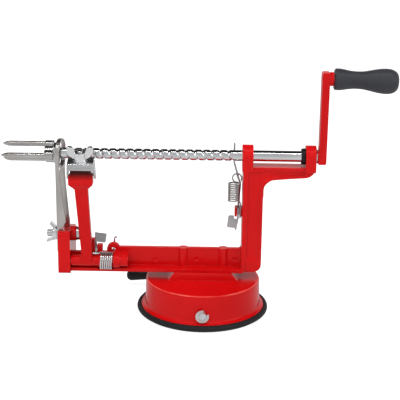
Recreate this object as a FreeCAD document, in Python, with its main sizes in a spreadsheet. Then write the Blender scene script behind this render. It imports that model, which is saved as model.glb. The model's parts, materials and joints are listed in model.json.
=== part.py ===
import FreeCAD, Part
import math
import os
import Sketcher

# Hand-cranked fruit peeler, corer and slicer on a suction base, in millimetres.
# X runs along the feed screw towards the crank, -Y faces the user's left hand side
# (the side the peeling arm is on) and Z is up. The origin is the centre of the
# suction pad's underside, on the table.

os.makedirs("parts", exist_ok=True)
doc = FreeCAD.newDocument("fruit_peeler")

SIZES = {
    # Feed screw and its bearings
    "shaft_height": 117.0,
    "shaft_radius": 4.0,
    "shaft_left": -112.0,
    "shaft_right": 85.5,
    "running_gap": 0.08,
    "seat_gap": 0.05,
    "touch_gap": 0.3,
    "front_boss_left": 26.8,
    "front_boss_width": 7.7,
    "rear_boss_left": 71.6,
    "rear_boss_width": 7.4,
    "boss_radius": 8.0,
    "bush_radius": 5.4,
    "bush_flange_radius": 5.8,
    "bush_flange_width": 2.9,
    # Frame casting
    "platform_height": 6.0,
    "flange_thickness": 2.4,
    "flange_half_depth": 10.0,
    "web_thickness": 3.0,
    "web_rise": 7.8,
    "low_web_rise": 3.8,
    "post_left": 27.2,
    "post_width": 15.2,
    "post_half_depth": 8.0,
    "post_corner": 6.0,
    "post_left_rim": 4.0,
    "post_right_rim": 2.2,
    "post_draft": 3.0,
    "bracket_drop": 7.0,
    "bracket_rim": 2.6,
    "bracket_depth": 9.4,
    "bracket_rise": 2.6,
    "bracket_half_depth": 6.5,
    "bracket_fillet": 8.0,
    "screw_boss_radius": 3.65,
    "screw_boss_spread": 14.5,
    "ear_centre": -65.3,
    "ear_radius": 4.8,
    "ear_hole_radius": 1.3,
    # Left end wall
    "wall_outer": -104.2,
    "wall_thickness": 8.7,
    "wall_bottom": 30.5,
    "wall_front": -14.2,
    "wall_back": 24.0,
    "wall_front_rise": 5.6,
    "wall_back_drop": 0.4,
    "wall_corner": 2.4,
    "bolt_boss_length": 3.4,
    "bolt_boss_radius": 5.4,
    "bolt_height": 57.0,
    "bolt_radius": 2.5,
    "bolt_head_radius": 4.9,
    "bolt_head_height": 4.0,
    "bolt_end": -113.6,
    # Peeling arm and its pivot
    "pivot_height": 39.8,
    "pivot_depth": -10.0,
    "pivot_radius": 1.8,
    "barrel_radius": 3.9,
    "barrel_end": -75.4,
    "spring_post_radius": 4.6,
    "spring_post_end": -65.1,
    "lug_radius": 4.9,
    "lug_left": -64.7,
    "lug_width": 4.7,
    "small_lug_radius": 4.0,
    "small_lug_end": -54.2,
    "arm_foot_front": -14.4,
    "arm_foot_back": -6.6,
    "arm_neck_front": -17.6,
    "arm_neck_back": -12.2,
    "arm_foot_left": -87.6,
    "arm_foot_right": -79.9,
    "arm_neck_left": -91.1,
    "arm_neck_right": -81.7,
    "arm_neck_drop": 2.0,
    "arm_foot_rise": 9.2,
    "head_front": -20.2,
    "head_back": -12.0,
    "head_left": -95.2,
    "head_width": 17.2,
    "head_drop": 17.6,
    "head_shoulder_drop": 9.2,
    "head_upper_inset": 1.5,
    "head_corner": 2.0,
    # Peeling blade bracket on the arm's sloping head
    "seat_centre": -86.6,
    "seat_depth": -15.5,
    "seat_drop": 2.4,
    "seat_tilt": 16.0,
    "sheet_thickness": 1.2,
    "bracket_plate_front": -5.2,
    "bracket_plate_back": 5.2,
    "bracket_plate_width": 18.2,
    "bracket_apron": 3.5,
    "bracket_leg_length": 14.0,
    "bracket_leg_flare": 1.3,
    "peel_blade_thickness": 0.9,
    "peel_blade_height": 6.0,
    "peel_blade_place": 3.4,
    "bracket_bolt_radius": 2.0,
    "bracket_bolt_depth": 4.5,
    "bracket_bolt_top": 9.4,
    "washer_thickness": 0.8,
    "washer_radius": 5.2,
    # Wing nuts
    "nut_hub_radius": 4.6,
    "nut_hub_top_radius": 3.9,
    "nut_hub_height": 6.2,
    "nut_wing_reach": 9.5,
    "nut_wing_height": 10.6,
    "nut_wing_thickness": 2.2,
    "side_nut_hub_height": 4.4,
    "side_nut_wing_reach": 10.2,
    "side_nut_wing_height": 8.6,
    "side_nut_turn": 25.0,
    # Coring and slicing blade
    "blade_thickness": 1.0,
    "blade_width": 4.3,
    "ring_radius": 10.5,
    "ring_wall": 0.8,
    "leg_spread": 8.6,
    "leg_offset": 3.0,
    "foot_drop": 11.0,
    "foot_rise": 6.0,
    "foot_slot_half": 5.4,
    # Fruit fork
    "hub_left": -113.3,
    "hub_length": 6.2,
    "hub_core_radius": 5.6,
    "shaft_neck_radius": 3.0,
    "prong_circle": 6.4,
    "prong_radius": 1.9,
    "prong_tip": -144.2,
    "prong_point": 5.0,
    "prong_seat": 3.8,
    "lobe_half_width": 3.4,
    "lobe_radius": 9.0,
    "first_prong_angle": 25.0,
    "lock_nut_flats": 12.8,
    "lock_nut_width": 4.0,
    # Crank and grip
    "crank_left": 79.5,
    "crank_arm_left": 80.4,
    "crank_right": 86.7,
    "crank_half_depth": 4.9,
    "crank_foot": 5.3,
    "crank_hub_rise": 4.6,
    "crank_draft": 6.0,
    "crank_ease": 1.2,
    "crank_throw": 55.9,
    "crank_end": 5.4,
    "grip_boss_right": 89.0,
    "grip_boss_radius": 4.9,
    "grip_pin_radius": 2.4,
    "grip_pin_head_radius": 3.0,
    "grip_pin_length": 36.0,
    "grip_droop": 1.6,
    "grip_length": 44.6,
    "grip_collar_radius": 7.6,
    "grip_collar_width": 4.5,
    "grip_waist_radius": 6.2,
    "grip_waist_place": 17.0,
    "grip_bulb_radius": 9.0,
    "grip_bulb_place": 35.0,
    # Arm latch
    "latch_rise": 7.2,
    "latch_depth": -1.2,
    "latch_pin_radius": 1.0,
    "latch_left": -78.4,
    "latch_ear_left": -81.2,
    "latch_ear_right": -73.2,
    "latch_ear_rise": 6.4,
    "latch_low_ear_rise": 2.0,
    "latch_tab_width": 6.3,
    "latch_tab_height": 6.7,
    "latch_tab_rise": 5.4,
    "latch_tab_depth": -4.4,
    "latch_stem_half": 1.1,
    "latch_boss_radius": 2.2,
    "latch_nose_depth": -5.3,
    "latch_nose_rise": 3.8,
    # Feed release
    "release_left": 24.1,
    "release_foot_left": 22.3,
    "release_high_left": 25.4,
    "release_screw_left": 20.7,
    "release_foot_drop": 13.2,
    "release_tang_drop": 14.3,
    "release_tang_front": -7.0,
    "release_pin_height": 75.6,
    "release_ear_left": 22.2,
    "release_ear_half_depth": 3.8,
    "release_ear_half_height": 3.3,
    "release_pin_radius": 1.0,
    "release_tab_left": 16.8,
    "release_tab_height": 8.8,
    "release_tab_drop": 2.4,
    "release_tab_front": -3.6,
    "release_boss": 2.4,
    "release_strip_width": 4.0,
    "release_strip_front": 1.6,
    "release_finger_front": 4.3,
    "release_slot_back": 1.4,
    "release_top_rise": 7.4,
    "release_joggle_height": 15.5,
    "release_joggle_drop": 6.5,
    # Springs
    "arm_spring_radius": 5.9,
    "arm_spring_wire": 1.05,
    "arm_spring_turns": 6.0,
    "arm_spring_pitch": 1.5,
    "arm_spring_tail_depth": 4.5,
    "arm_spring_tail_top": 53.5,
    "arm_spring_leg_end": -79.6,
    "wire_bend": 2.0,
    "release_spring_radius": 4.0,
    "release_spring_wire": 1.1,
    "release_spring_pitch": 1.56,
    "release_spring_full_turns": 8.0,
    "release_spring_centre": 21.3,
    "release_spring_depth": -4.4,
    "release_spring_drop": 18.3,
    "release_loop_radius": 3.2,
    "release_loop_centre": 23.3,
    "release_tail_drop": 0.6,
    "release_tail_place": 26.1,
    "release_hook_end": -1.0,
    # Suction base
    "pad_radius": 48.0,
    "pad_edge": 5.2,
    "pad_centre": 4.4,
    "pad_bevel": 4.0,
    "pad_edge_height": 3.0,
    "pad_floor": 1.1,
    "pad_well_radius": 10.2,
    "pad_lip": 2.3,
    "dome_skirt": 3.1,
    "dome_lean": 2.2,
    "dome_top": 25.5,
    "dome_wall": 2.6,
    "dome_round": 3.0,
    "platform_half_length": 20.6,
    "platform_foot_half_length": 25.4,
    "platform_half_width": 10.8,
    "base_screw_radius": 2.0,
    "base_screw_length": 17.0,
    "base_screw_head_radius": 3.7,
    "base_screw_head_height": 2.6,
    # Suction cam and lever
    "axle_height": 11.4,
    "axle_radius": 2.75,
    "axle_front_end": 3.3,
    "axle_back_end": 1.6,
    "axle_groove": 0.6,
    "clip_standoff": 1.15,
    "clip_opening": 3.4,
    "clip_turn": -50.0,
    "clip_radius": 4.75,
    "clip_thickness": 0.9,
    "clip_seat_radius": 5.6,
    "cam_radius": 4.6,
    "cam_throw": 1.65,
    "cam_half_length": 4.4,
    "stud_eye_wall": 2.0,
    "stud_gap": 0.55,
    "stud_half_width": 3.6,
    "stud_foot_radius": 9.0,
    "stud_foot_thickness": 1.5,
    "stud_foot_height": 3.8,
    "stud_neck_radius": 3.4,
    "lever_droop": 4.4,
    "lever_eye_radius": 5.6,
    "lever_length": 52.0,
    "lever_half_height": 2.4,
    "lever_thickness": 3.0,
    "lever_standoff": 3.3,
    "lever_grip_start": 25.0,
    "lever_grip_end": 59.4,
    "lever_grip_radius": 4.1,
}

sheet = doc.addObject("Spreadsheet::Sheet", "sizes")
for row, (name, value) in enumerate(SIZES.items(), start=1):
    sheet.set(f"A{row}", name)
    sheet.set(f"B{row}", str(value))
    sheet.setAlias(f"B{row}", name)
doc.recompute()


class Size:
    """A number read from the sheet that keeps the formula it came from."""

    def __init__(self, number, formula=None):
        self.number = float(number)
        self.formula = formula if formula else f"({float(number)})"

    def join(self, sign, other, number):
        return Size(number, f"({self.formula} {sign} {size(other).formula})")

    def __add__(self, other):
        return self.join("+", other, self.number + size(other).number)

    def __sub__(self, other):
        return self.join("-", other, self.number - size(other).number)

    def __mul__(self, other):
        return self.join("*", other, self.number * size(other).number)

    def __truediv__(self, other):
        return self.join("/", other, self.number / size(other).number)

    def __radd__(self, other):
        return size(other) + self

    def __rsub__(self, other):
        return size(other) - self

    def __rmul__(self, other):
        return size(other) * self

    def __neg__(self):
        return Size(-self.number, f"(0 - {self.formula})")

    def __float__(self):
        return self.number

    def sine(self):
        return Size(math.sin(math.radians(self.number)), f"sin({self.formula})")

    def cosine(self):
        return Size(math.cos(math.radians(self.number)), f"cos({self.formula})")

    def slope(self):
        return Size(math.tan(math.radians(self.number)), f"tan({self.formula})")


def size(value):
    return value if isinstance(value, Size) else Size(value)


class Dimensions:
    """Gives each cell of the sheet by its alias."""

    def __getattr__(self, alias):
        return Size(sheet.get(alias), f"sizes.{alias}")


d = Dimensions()


def bind(item, property_name, value):
    item.setExpression(property_name, size(value).formula)


def place(item, x=0, y=0, z=0, axis=None, angle=0):
    """Put an item at x, y, z, turned about one axis, all bound to the sheet."""
    if axis is not None:
        item.Placement.Rotation = FreeCAD.Rotation(FreeCAD.Vector(*axis), float(angle))
        bind(item, "Placement.Rotation.Angle", angle)
    for letter, value in zip("xyz", (x, y, z)):
        bind(item, f"Placement.Base.{letter}", value)
    return item


def new_body(label):
    body = doc.addObject("PartDesign::Body", label)
    body.Label = label
    return body


def new_sketch(body, role, shift=0, tilt=None):
    """A sketch on one of the body's own planes, moved along the plane's normal.

    tilt gives (across, up, out, angle): where the sketch sits and its turn about its own x.
    """
    sketch = body.newObject("Sketcher::SketchObject", "outline")
    plane = next(part for part in body.Origin.OriginFeatures if part.Role == role)
    sketch.AttachmentSupport = [(plane, "")]
    sketch.MapMode = "FlatFace"
    if tilt is None:
        bind(sketch, "AttachmentOffset.Base.z", shift)
    else:
        across, up, out, angle = tilt
        turn = FreeCAD.Rotation(FreeCAD.Vector(1, 0, 0), float(angle))
        sketch.AttachmentOffset = FreeCAD.Placement(FreeCAD.Vector(), turn)
        bind(sketch, "AttachmentOffset.Rotation.Angle", angle)
        bind(sketch, "AttachmentOffset.Base.x", across)
        bind(sketch, "AttachmentOffset.Base.y", up)
        bind(sketch, "AttachmentOffset.Base.z", out)
    return sketch


def fix_value(sketch, kind, geometry, value):
    """Add one driving dimension and bind it to its formula."""
    constraint = Sketcher.Constraint(kind, *geometry, float(value))
    index = sketch.addConstraint(constraint)
    bind(sketch, f"Constraints[{index}]", value)


def draw_loop(sketch, corners):
    """A closed outline through corners (across, up) or (across, up, radius)."""
    count = len(corners)
    sharp = [FreeCAD.Vector(float(c[0]), float(c[1]), 0) for c in corners]
    radii = [float(c[2]) if len(c) > 2 else 0.0 for c in corners]
    arrive = []
    leave = []
    arcs = []
    for i, corner in enumerate(sharp):
        back = (sharp[i - 1] - corner).normalize()
        ahead = (sharp[(i + 1) % count] - corner).normalize()
        if radii[i] == 0:
            arrive.append(corner)
            leave.append(corner)
            arcs.append(None)
            continue
        half = back.getAngle(ahead) / 2
        trim = radii[i] / math.tan(half)
        arrive.append(corner + back * trim)
        leave.append(corner + ahead * trim)
        centre = corner + (back + ahead).normalize() * (radii[i] / math.sin(half))
        left_turn = back.cross(ahead).z < 0
        arcs.append((centre, left_turn))
    lines = [sketch.addGeometry(Part.LineSegment(leave[i], arrive[(i + 1) % count]), False)
             for i in range(count)]
    for i in range(count):
        before = lines[i - 1]
        after = lines[i]
        if arcs[i] is None:
            sketch.addConstraint(Sketcher.Constraint("Coincident", before, 2, after, 1))
            fix_value(sketch, "DistanceX", (-1, 1, after, 1), corners[i][0])
            fix_value(sketch, "DistanceY", (-1, 1, after, 1), corners[i][1])
            continue
        centre, left_turn = arcs[i]
        first, last = (arrive[i], leave[i]) if left_turn else (leave[i], arrive[i])
        angles = [math.atan2(p.y - centre.y, p.x - centre.x) for p in (first, last)]
        circle = Part.Circle(centre, FreeCAD.Vector(0, 0, 1), radii[i])
        arc = sketch.addGeometry(Part.ArcOfCircle(circle, angles[0], angles[1]), False)
        mark = sketch.addGeometry(Part.Point(sharp[i]), True)
        arrives_at, leaves_at = (1, 2) if left_turn else (2, 1)
        sketch.addConstraint([
            Sketcher.Constraint("Tangent", before, 2, arc, arrives_at),
            Sketcher.Constraint("Tangent", after, 1, arc, leaves_at),
            Sketcher.Constraint("PointOnObject", mark, 1, before),
            Sketcher.Constraint("PointOnObject", mark, 1, after),
        ])
        fix_value(sketch, "DistanceX", (-1, 1, mark, 1), corners[i][0])
        fix_value(sketch, "DistanceY", (-1, 1, mark, 1), corners[i][1])
        fix_value(sketch, "Radius", (arc,), corners[i][2])


def draw_circle(sketch, across, up, radius):
    centre = FreeCAD.Vector(float(across), float(up), 0)
    circle = sketch.addGeometry(Part.Circle(centre, FreeCAD.Vector(0, 0, 1), float(radius)), False)
    fix_value(sketch, "DistanceX", (-1, 1, circle, 3), across)
    fix_value(sketch, "DistanceY", (-1, 1, circle, 3), up)
    fix_value(sketch, "Radius", (circle,), radius)


def add_feature(body, kind, sketch, length, both_ways, reverse, taper):
    feature = body.newObject(f"PartDesign::{kind}", kind.lower())
    feature.Profile = sketch
    feature.SideType = "Symmetric" if both_ways else "One side"
    feature.Reversed = reverse
    bind(feature, "Length", length)
    if taper is not None:
        bind(feature, "TaperAngle", taper)
    sketch.Visibility = False
    doc.recompute()
    return feature


def pad(body, role, loops, length, shift=0, both_ways=False, reverse=False, taper=None, tilt=None):
    """Pad outlines; a loop is a list of corners or a (across, up, radius) circle tuple."""
    sketch = new_sketch(body, role, shift, tilt)
    for loop in loops:
        if isinstance(loop, tuple):
            draw_circle(sketch, *loop)
        else:
            draw_loop(sketch, loop)
    return add_feature(body, "Pad", sketch, length, both_ways, reverse, taper)


def pocket(body, role, loops, length, shift=0, both_ways=False, reverse=False, tilt=None):
    """Cut outlines out of the body, and check that something was cut."""
    before = body.Shape.Volume
    sketch = new_sketch(body, role, shift, tilt)
    for loop in loops:
        if isinstance(loop, tuple):
            draw_circle(sketch, *loop)
        else:
            draw_loop(sketch, loop)
    feature = add_feature(body, "Pocket", sketch, length, both_ways, reverse, None)
    if not feature.Shape.Volume < before:
        raise RuntimeError(f"{body.Label}: a pocket cuts nothing")
    return feature


def turn(body, role, corners, axis_name, shift=0):
    """Revolve an outline about one of the sketch's own axes."""
    sketch = new_sketch(body, role, shift)
    draw_loop(sketch, corners)
    feature = body.newObject("PartDesign::Revolution", "turned")
    feature.Profile = sketch
    feature.ReferenceAxis = (sketch, [axis_name])
    feature.Angle = 360
    sketch.Visibility = False
    doc.recompute()
    return feature


def group(label, members):
    """One node that holds several separate solids of the same kind."""
    compound = doc.addObject("Part::Compound", label)
    compound.Label = label
    compound.Links = members
    return compound


def rectangle(left, bottom, right, top, radius=None):
    corners = [(left, bottom), (right, bottom), (right, top), (left, top)]
    if radius is None:
        return corners
    return [corner + (radius,) for corner in corners]


# Sizes that several pieces share
beam_bottom = d.dome_top + d.platform_height
flange_top = beam_bottom + d.flange_thickness
wall_inner = d.wall_outer + d.wall_thickness
wall_front_top = d.bolt_height + d.wall_front_rise
wall_back_top = d.bolt_height - d.wall_back_drop
foot_bottom = d.bolt_height - d.foot_drop
foot_top = d.bolt_height + d.foot_rise
post_right = d.post_left + d.post_width
bracket_top = d.shaft_height - d.bracket_drop
bracket_bottom = bracket_top - d.bracket_depth
web_top = d.pivot_height + d.web_rise
low_web_top = d.pivot_height + d.low_web_rise
seat_height = d.shaft_height - d.seat_drop
head_shoulder = seat_height - d.head_shoulder_drop
head_bottom = seat_height - d.head_drop
arm_neck_height = head_bottom - d.arm_neck_drop
arm_foot_top = d.pivot_height + d.arm_foot_rise
grip_height = d.shaft_height + d.crank_throw
crank_top = grip_height + d.crank_end
latch_height = d.pivot_height + d.latch_rise
latch_ear_top = latch_height + d.latch_ear_rise
latch_low_ear_top = latch_height + d.latch_low_ear_rise
latch_tab_bottom = latch_height + d.latch_tab_rise
latch_nose_height = d.pivot_height + d.latch_nose_rise
release_top = d.shaft_height + d.release_top_rise
release_joggle_high = d.shaft_height - d.release_joggle_drop
release_joggle_low = release_joggle_high - d.release_joggle_height
release_tang_height = d.shaft_height - d.release_tang_drop
release_spring_bottom = release_tang_height - d.release_spring_drop
release_ear_bottom = d.release_pin_height - d.release_ear_half_height
release_ear_top = d.release_pin_height + d.release_ear_half_height
release_tab_top = d.release_pin_height - d.release_tab_drop
release_tab_bottom = release_tab_top - d.release_tab_height
release_foot = d.release_pin_height - d.release_foot_drop
release_tail_end = release_ear_bottom - d.release_tail_drop
pad_foot_radius = d.pad_radius - d.pad_bevel
dome_flange_radius = d.pad_radius - d.pad_lip
dome_side_radius = dome_flange_radius - d.dome_skirt
dome_top_radius = dome_side_radius - d.dome_lean
clip_place = -dome_side_radius - d.clip_standoff
axle_front = -dome_side_radius - d.axle_front_end
lever_depth = dome_side_radius + d.lever_standoff
axle_back = lever_depth + d.lever_thickness + d.axle_back_end
front_boss_right = d.front_boss_left + d.front_boss_width
rear_boss_right = d.rear_boss_left + d.rear_boss_width
half_web = d.web_thickness / 2
bolt_seat = wall_inner + d.bolt_boss_length
shaft_bore = d.shaft_radius + d.running_gap
latch_right = d.latch_left + d.sheet_thickness
release_right = d.release_left + d.sheet_thickness
ceiling = d.dome_top - d.dome_wall
ear_height = d.pivot_height + d.arm_spring_radius
arm_bore = d.pivot_radius + d.running_gap
head_right = d.head_left + d.head_width
plate_half = d.bracket_plate_width / 2
blade_face = d.wall_outer - d.blade_thickness
hub_right = d.hub_left + d.hub_length
grip_face = d.grip_boss_right + 0.4
stud_eye_centre = d.axle_height + d.cam_throw


def frame_web(body):
    """The thin web that runs through the beam, both posts and the upper bracket."""
    top = bracket_top
    pad(body, "XZ_Plane", [[
        (wall_inner - 2, beam_bottom),
        (post_right, beam_bottom, d.post_corner),
        (post_right, bracket_bottom, d.bracket_fillet),
        (rear_boss_right, bracket_bottom + d.bracket_rise, d.bracket_fillet),
        (rear_boss_right, d.shaft_height),
        (d.rear_boss_left + 1, d.shaft_height),
        (d.rear_boss_left + 1, top),
        (front_boss_right - 1, top),
        (front_boss_right - 1, d.shaft_height),
        (d.post_left, d.shaft_height),
        (d.post_left, web_top, 2.0),
        (d.ear_centre + d.ear_radius * 0.6, web_top),
        (d.ear_centre + d.ear_radius * 0.6, low_web_top),
        (wall_inner - 2, low_web_top),
    ]], d.web_thickness, both_ways=True)


def frame_rims(body):
    """Beam flange, the drafted post with its recesses and the upper bracket."""
    pad(body, "XY_Plane", [rectangle(
        wall_inner - 2, -d.flange_half_depth,
        d.post_left + 2, d.flange_half_depth)],
        d.flange_thickness, shift=beam_bottom)
    draft = -d.post_draft
    pad(body, "XZ_Plane", [[
        (d.post_left, beam_bottom, 2.0),
        (post_right, beam_bottom, d.post_corner),
        (post_right, d.shaft_height - d.boss_radius),
        (d.post_left, d.shaft_height - d.boss_radius),
    ]], d.post_half_depth * 2, both_ways=True, taper=draft)
    pad(body, "XZ_Plane", [[
        (post_right - d.bracket_fillet, bracket_top - 8),
        (post_right - d.bracket_fillet, bracket_bottom - d.bracket_fillet * 1.6),
        (post_right, bracket_bottom - d.bracket_fillet * 1.6),
        (post_right, bracket_bottom, d.bracket_fillet),
        (rear_boss_right, bracket_bottom + d.bracket_rise, d.bracket_fillet),
        (rear_boss_right, bracket_top),
        (post_right - d.bracket_fillet, bracket_top),
    ]], d.bracket_half_depth * 2, both_ways=True)
    recess_left = d.post_left + d.post_left_rim
    recess_right = post_right - d.post_right_rim
    recess_top = bracket_top - d.bracket_rim
    for reverse in (False, True):
        pocket(body, "XZ_Plane", [[
            (recess_left, flange_top + 2.6, 1.5),
            (recess_right, flange_top + 2.6, 3.0),
            (recess_right, bracket_bottom + 0.8, d.bracket_fillet),
            (d.rear_boss_left - 0.6, bracket_bottom + d.bracket_rise + 1.4, 1.2),
            (d.rear_boss_left - 0.6, recess_top, 1.0),
            (recess_left, recess_top, 1.5),
        ]], d.post_half_depth + 2, shift=half_web if reverse else -half_web, reverse=reverse)


def frame_bearings(body):
    """Two round-topped bearing posts across the feed screw, with their bores."""
    for left, width in ((d.front_boss_left, d.front_boss_width),
                        (d.rear_boss_left, d.rear_boss_width)):
        foot = bracket_top - 3
        pad(body, "YZ_Plane", [rectangle(
            -d.boss_radius, foot, d.boss_radius, d.shaft_height)], width, shift=left)
        pad(body, "YZ_Plane", [(0, d.shaft_height, d.boss_radius)], width, shift=left)


def frame_end_wall(body):
    """The wall at the fork end, with a sloping top and the slicer bolt's boss."""
    pad(body, "YZ_Plane", [[
        (d.wall_front, d.wall_bottom, d.wall_corner),
        (d.wall_back, d.wall_bottom, d.wall_corner),
        (d.wall_back, wall_back_top, d.wall_corner),
        (d.wall_front, wall_front_top, d.wall_corner),
    ]], d.wall_thickness, shift=d.wall_outer)
    pad(body, "YZ_Plane", [(0, d.bolt_height, d.bolt_boss_radius)],
        d.bolt_boss_length + 1, shift=wall_inner - 1)
    pad(body, "XY_Plane", [[
        (wall_inner - 2, d.flange_half_depth - 1),
        (wall_inner + 16, d.flange_half_depth - 1),
        (wall_inner - 2, d.wall_back - 2),
    ]], d.flange_thickness, shift=beam_bottom)


def frame_lugs(body):
    """Pivot lugs, screw bosses, the spring ear and the ears of both latches."""
    lug_right = d.lug_left + d.lug_width
    for left, right, radius in ((d.lug_left, lug_right, d.lug_radius),
                                (lug_right - 1, d.small_lug_end, d.small_lug_radius)):
        pad(body, "YZ_Plane", [(d.pivot_depth, d.pivot_height, radius)], right - left, shift=left)
        pad(body, "YZ_Plane", [rectangle(
            d.pivot_depth, d.pivot_height - radius * 0.6, 0, d.pivot_height + radius)],
            right - left, shift=left)
    for side in (-1, 1):
        pad(body, "XY_Plane", [(side * d.screw_boss_spread, 0, d.screw_boss_radius)],
            web_top - beam_bottom, shift=beam_bottom)
    pad(body, "XZ_Plane", [(d.ear_centre, ear_height, d.ear_radius)],
        d.web_thickness, both_ways=True)
    ear_depth = d.latch_depth - d.latch_pin_radius - 1.0
    for left, right, top in ((d.latch_ear_left, d.latch_left - d.touch_gap, latch_ear_top),
                             (latch_right + d.touch_gap, d.latch_ear_right, latch_low_ear_top)):
        pad(body, "YZ_Plane", [[
            (ear_depth, low_web_top - 3),
            (half_web + 1.5, low_web_top - 3),
            (half_web + 1.5, top, 1.2),
            (ear_depth, top, 1.2),
        ]], right - left, shift=left)
    for left, right in ((d.release_ear_left, d.release_left - d.touch_gap),
                        (release_right + d.touch_gap, d.post_left + 1)):
        pad(body, "YZ_Plane", [rectangle(
            -d.release_ear_half_depth, release_ear_bottom,
            d.release_ear_half_depth, release_ear_top, 1.2)], right - left, shift=left)
    pad(body, "YZ_Plane", [rectangle(
        d.release_ear_half_depth - 1.4, release_ear_bottom,
        d.release_ear_half_depth, release_ear_top)],
        d.post_left - d.release_ear_left, shift=d.release_ear_left)


def frame_holes(body):
    """Bores for the screw, pivot rod, bolt, base screws and the small pins."""
    pocket(body, "YZ_Plane", [(0, d.shaft_height, shaft_bore)],
           d.front_boss_width + 4, shift=d.front_boss_left - 2, reverse=True)
    pocket(body, "YZ_Plane", [(0, d.shaft_height, d.bush_radius + d.running_gap)],
           d.rear_boss_width + 4, shift=d.rear_boss_left - 2, reverse=True)
    pocket(body, "YZ_Plane", [(d.pivot_depth, d.pivot_height, d.pivot_radius + d.seat_gap)],
           d.small_lug_end - d.wall_outer + 2, shift=d.wall_outer - 1, reverse=True)
    pocket(body, "YZ_Plane", [(0, d.bolt_height, d.bolt_radius + d.seat_gap)],
           d.wall_thickness + d.bolt_boss_length + 2, shift=d.wall_outer - 1, reverse=True)
    for side in (-1, 1):
        pocket(body, "XY_Plane", [(
            side * d.screw_boss_spread, 0, d.base_screw_radius + d.seat_gap)],
            d.base_screw_length - (beam_bottom - ceiling) + 1,
            shift=beam_bottom, reverse=True)
    pocket(body, "XZ_Plane", [(d.ear_centre, ear_height, d.ear_hole_radius)],
           d.web_thickness + 2, both_ways=True)
    pocket(body, "YZ_Plane", [(
        d.latch_depth, latch_height, d.latch_pin_radius + d.seat_gap)],
        d.latch_ear_right - d.latch_ear_left + 0.4, shift=d.latch_ear_left - 0.2, reverse=True)
    pocket(body, "YZ_Plane", [(
        0, d.release_pin_height, d.release_pin_radius + d.seat_gap)],
        d.post_left - d.release_ear_left + 1.2, shift=d.release_ear_left - 0.2, reverse=True)
    relief_floor = d.pivot_height - d.arm_spring_radius - d.arm_spring_wire / 2 - d.touch_gap
    pocket(body, "XY_Plane", [rectangle(
        d.barrel_end - 0.6, -d.flange_half_depth - 1,
        d.lug_left + 0.2, d.pivot_depth + 4.2)], 1.5, shift=relief_floor, reverse=True)
    groove_right = d.wall_outer + d.blade_width + 0.4
    for side, right in ((-1, groove_right), (1, groove_right + d.leg_offset)):
        middle_y = side * (d.leg_spread + d.blade_thickness / 2)
        half = d.blade_thickness / 2 + 0.4
        pocket(body, "XY_Plane", [rectangle(
            d.wall_outer - 1, middle_y - half, right, middle_y + half)],
            wall_front_top - foot_bottom + 2, shift=foot_bottom - 1, reverse=True)


def make_frame():
    body = new_body("frame_casting")
    frame_web(body)
    frame_rims(body)
    frame_bearings(body)
    frame_end_wall(body)
    frame_lugs(body)
    frame_holes(body)
    return body


def make_dome():
    """The hollow base casting with the platform that the frame is screwed to."""
    body = new_body("suction_dome")
    top = d.dome_top
    wall = d.dome_wall
    ease = d.dome_round
    turn(body, "XZ_Plane", [
        (dome_flange_radius, d.pad_centre),
        (dome_flange_radius, d.pad_centre + 0.9),
        (dome_side_radius, d.axle_height + 2.6),
        (dome_top_radius + d.dome_lean * ease / (top - d.axle_height - 2.6), top - ease),
        (dome_top_radius - ease * 0.25, top - ease * 0.3),
        (dome_top_radius - ease, top),
        (0, top),
        (0, top - wall),
        (dome_top_radius - wall, top - wall),
        (dome_side_radius - wall, d.axle_height + 2.6),
        (dome_flange_radius - wall, d.pad_centre),
    ], "V_Axis")
    pad(body, "XZ_Plane", [[
        (-d.platform_foot_half_length, top - 1),
        (d.platform_foot_half_length, top - 1),
        (d.platform_foot_half_length, top),
        (d.platform_half_length, beam_bottom, 0.8),
        (-d.platform_half_length, beam_bottom, 0.8),
        (-d.platform_foot_half_length, top),
    ]], d.platform_half_width * 2, both_ways=True)
    for side in (-1, 1):
        pocket(body, "XY_Plane", [(
            side * d.screw_boss_spread, 0, d.base_screw_radius + d.seat_gap)],
            beam_bottom - ceiling + 2, shift=ceiling - 1, reverse=True)
    pocket(body, "XZ_Plane", [(0, d.axle_height, d.axle_radius + d.running_gap)],
           d.pad_radius * 2 + 4, both_ways=True)
    face = -clip_place - d.seat_gap
    pocket(body, "XZ_Plane", [(0, d.axle_height, d.clip_seat_radius)],
           d.pad_radius - face, shift=d.pad_radius)
    return body


def make_pad():
    """The rubber suction pad, with a well over which the pull stud's foot moves."""
    body = new_body("suction_pad")
    seat = dome_flange_radius + 0.15
    turn(body, "XZ_Plane", [
        (0, 0),
        (pad_foot_radius, 0),
        (d.pad_radius, d.pad_edge_height),
        (d.pad_radius, d.pad_edge - 0.7),
        (d.pad_radius - 0.7, d.pad_edge),
        (seat, d.pad_edge),
        (seat, d.pad_centre),
        (d.pad_well_radius, d.pad_centre),
        (d.pad_well_radius, d.pad_floor),
        (0, d.pad_floor),
    ], "V_Axis")
    return body


def make_base_screws():
    """Two pan head screws from inside the base up into the frame's screw bosses."""
    members = []
    for number, side in enumerate((-1, 1)):
        screw = new_body(f"base_screw_{number}")
        turn(screw, "XZ_Plane", [
            (0, -d.base_screw_head_height),
            (d.base_screw_head_radius, -d.base_screw_head_height),
            (d.base_screw_head_radius, 0),
            (d.base_screw_radius, 0),
            (d.base_screw_radius, d.base_screw_length),
            (0, d.base_screw_length),
        ], "V_Axis")
        members.append(place(screw, x=side * d.screw_boss_spread, z=ceiling))
    return group("base_screws", members)


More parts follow.
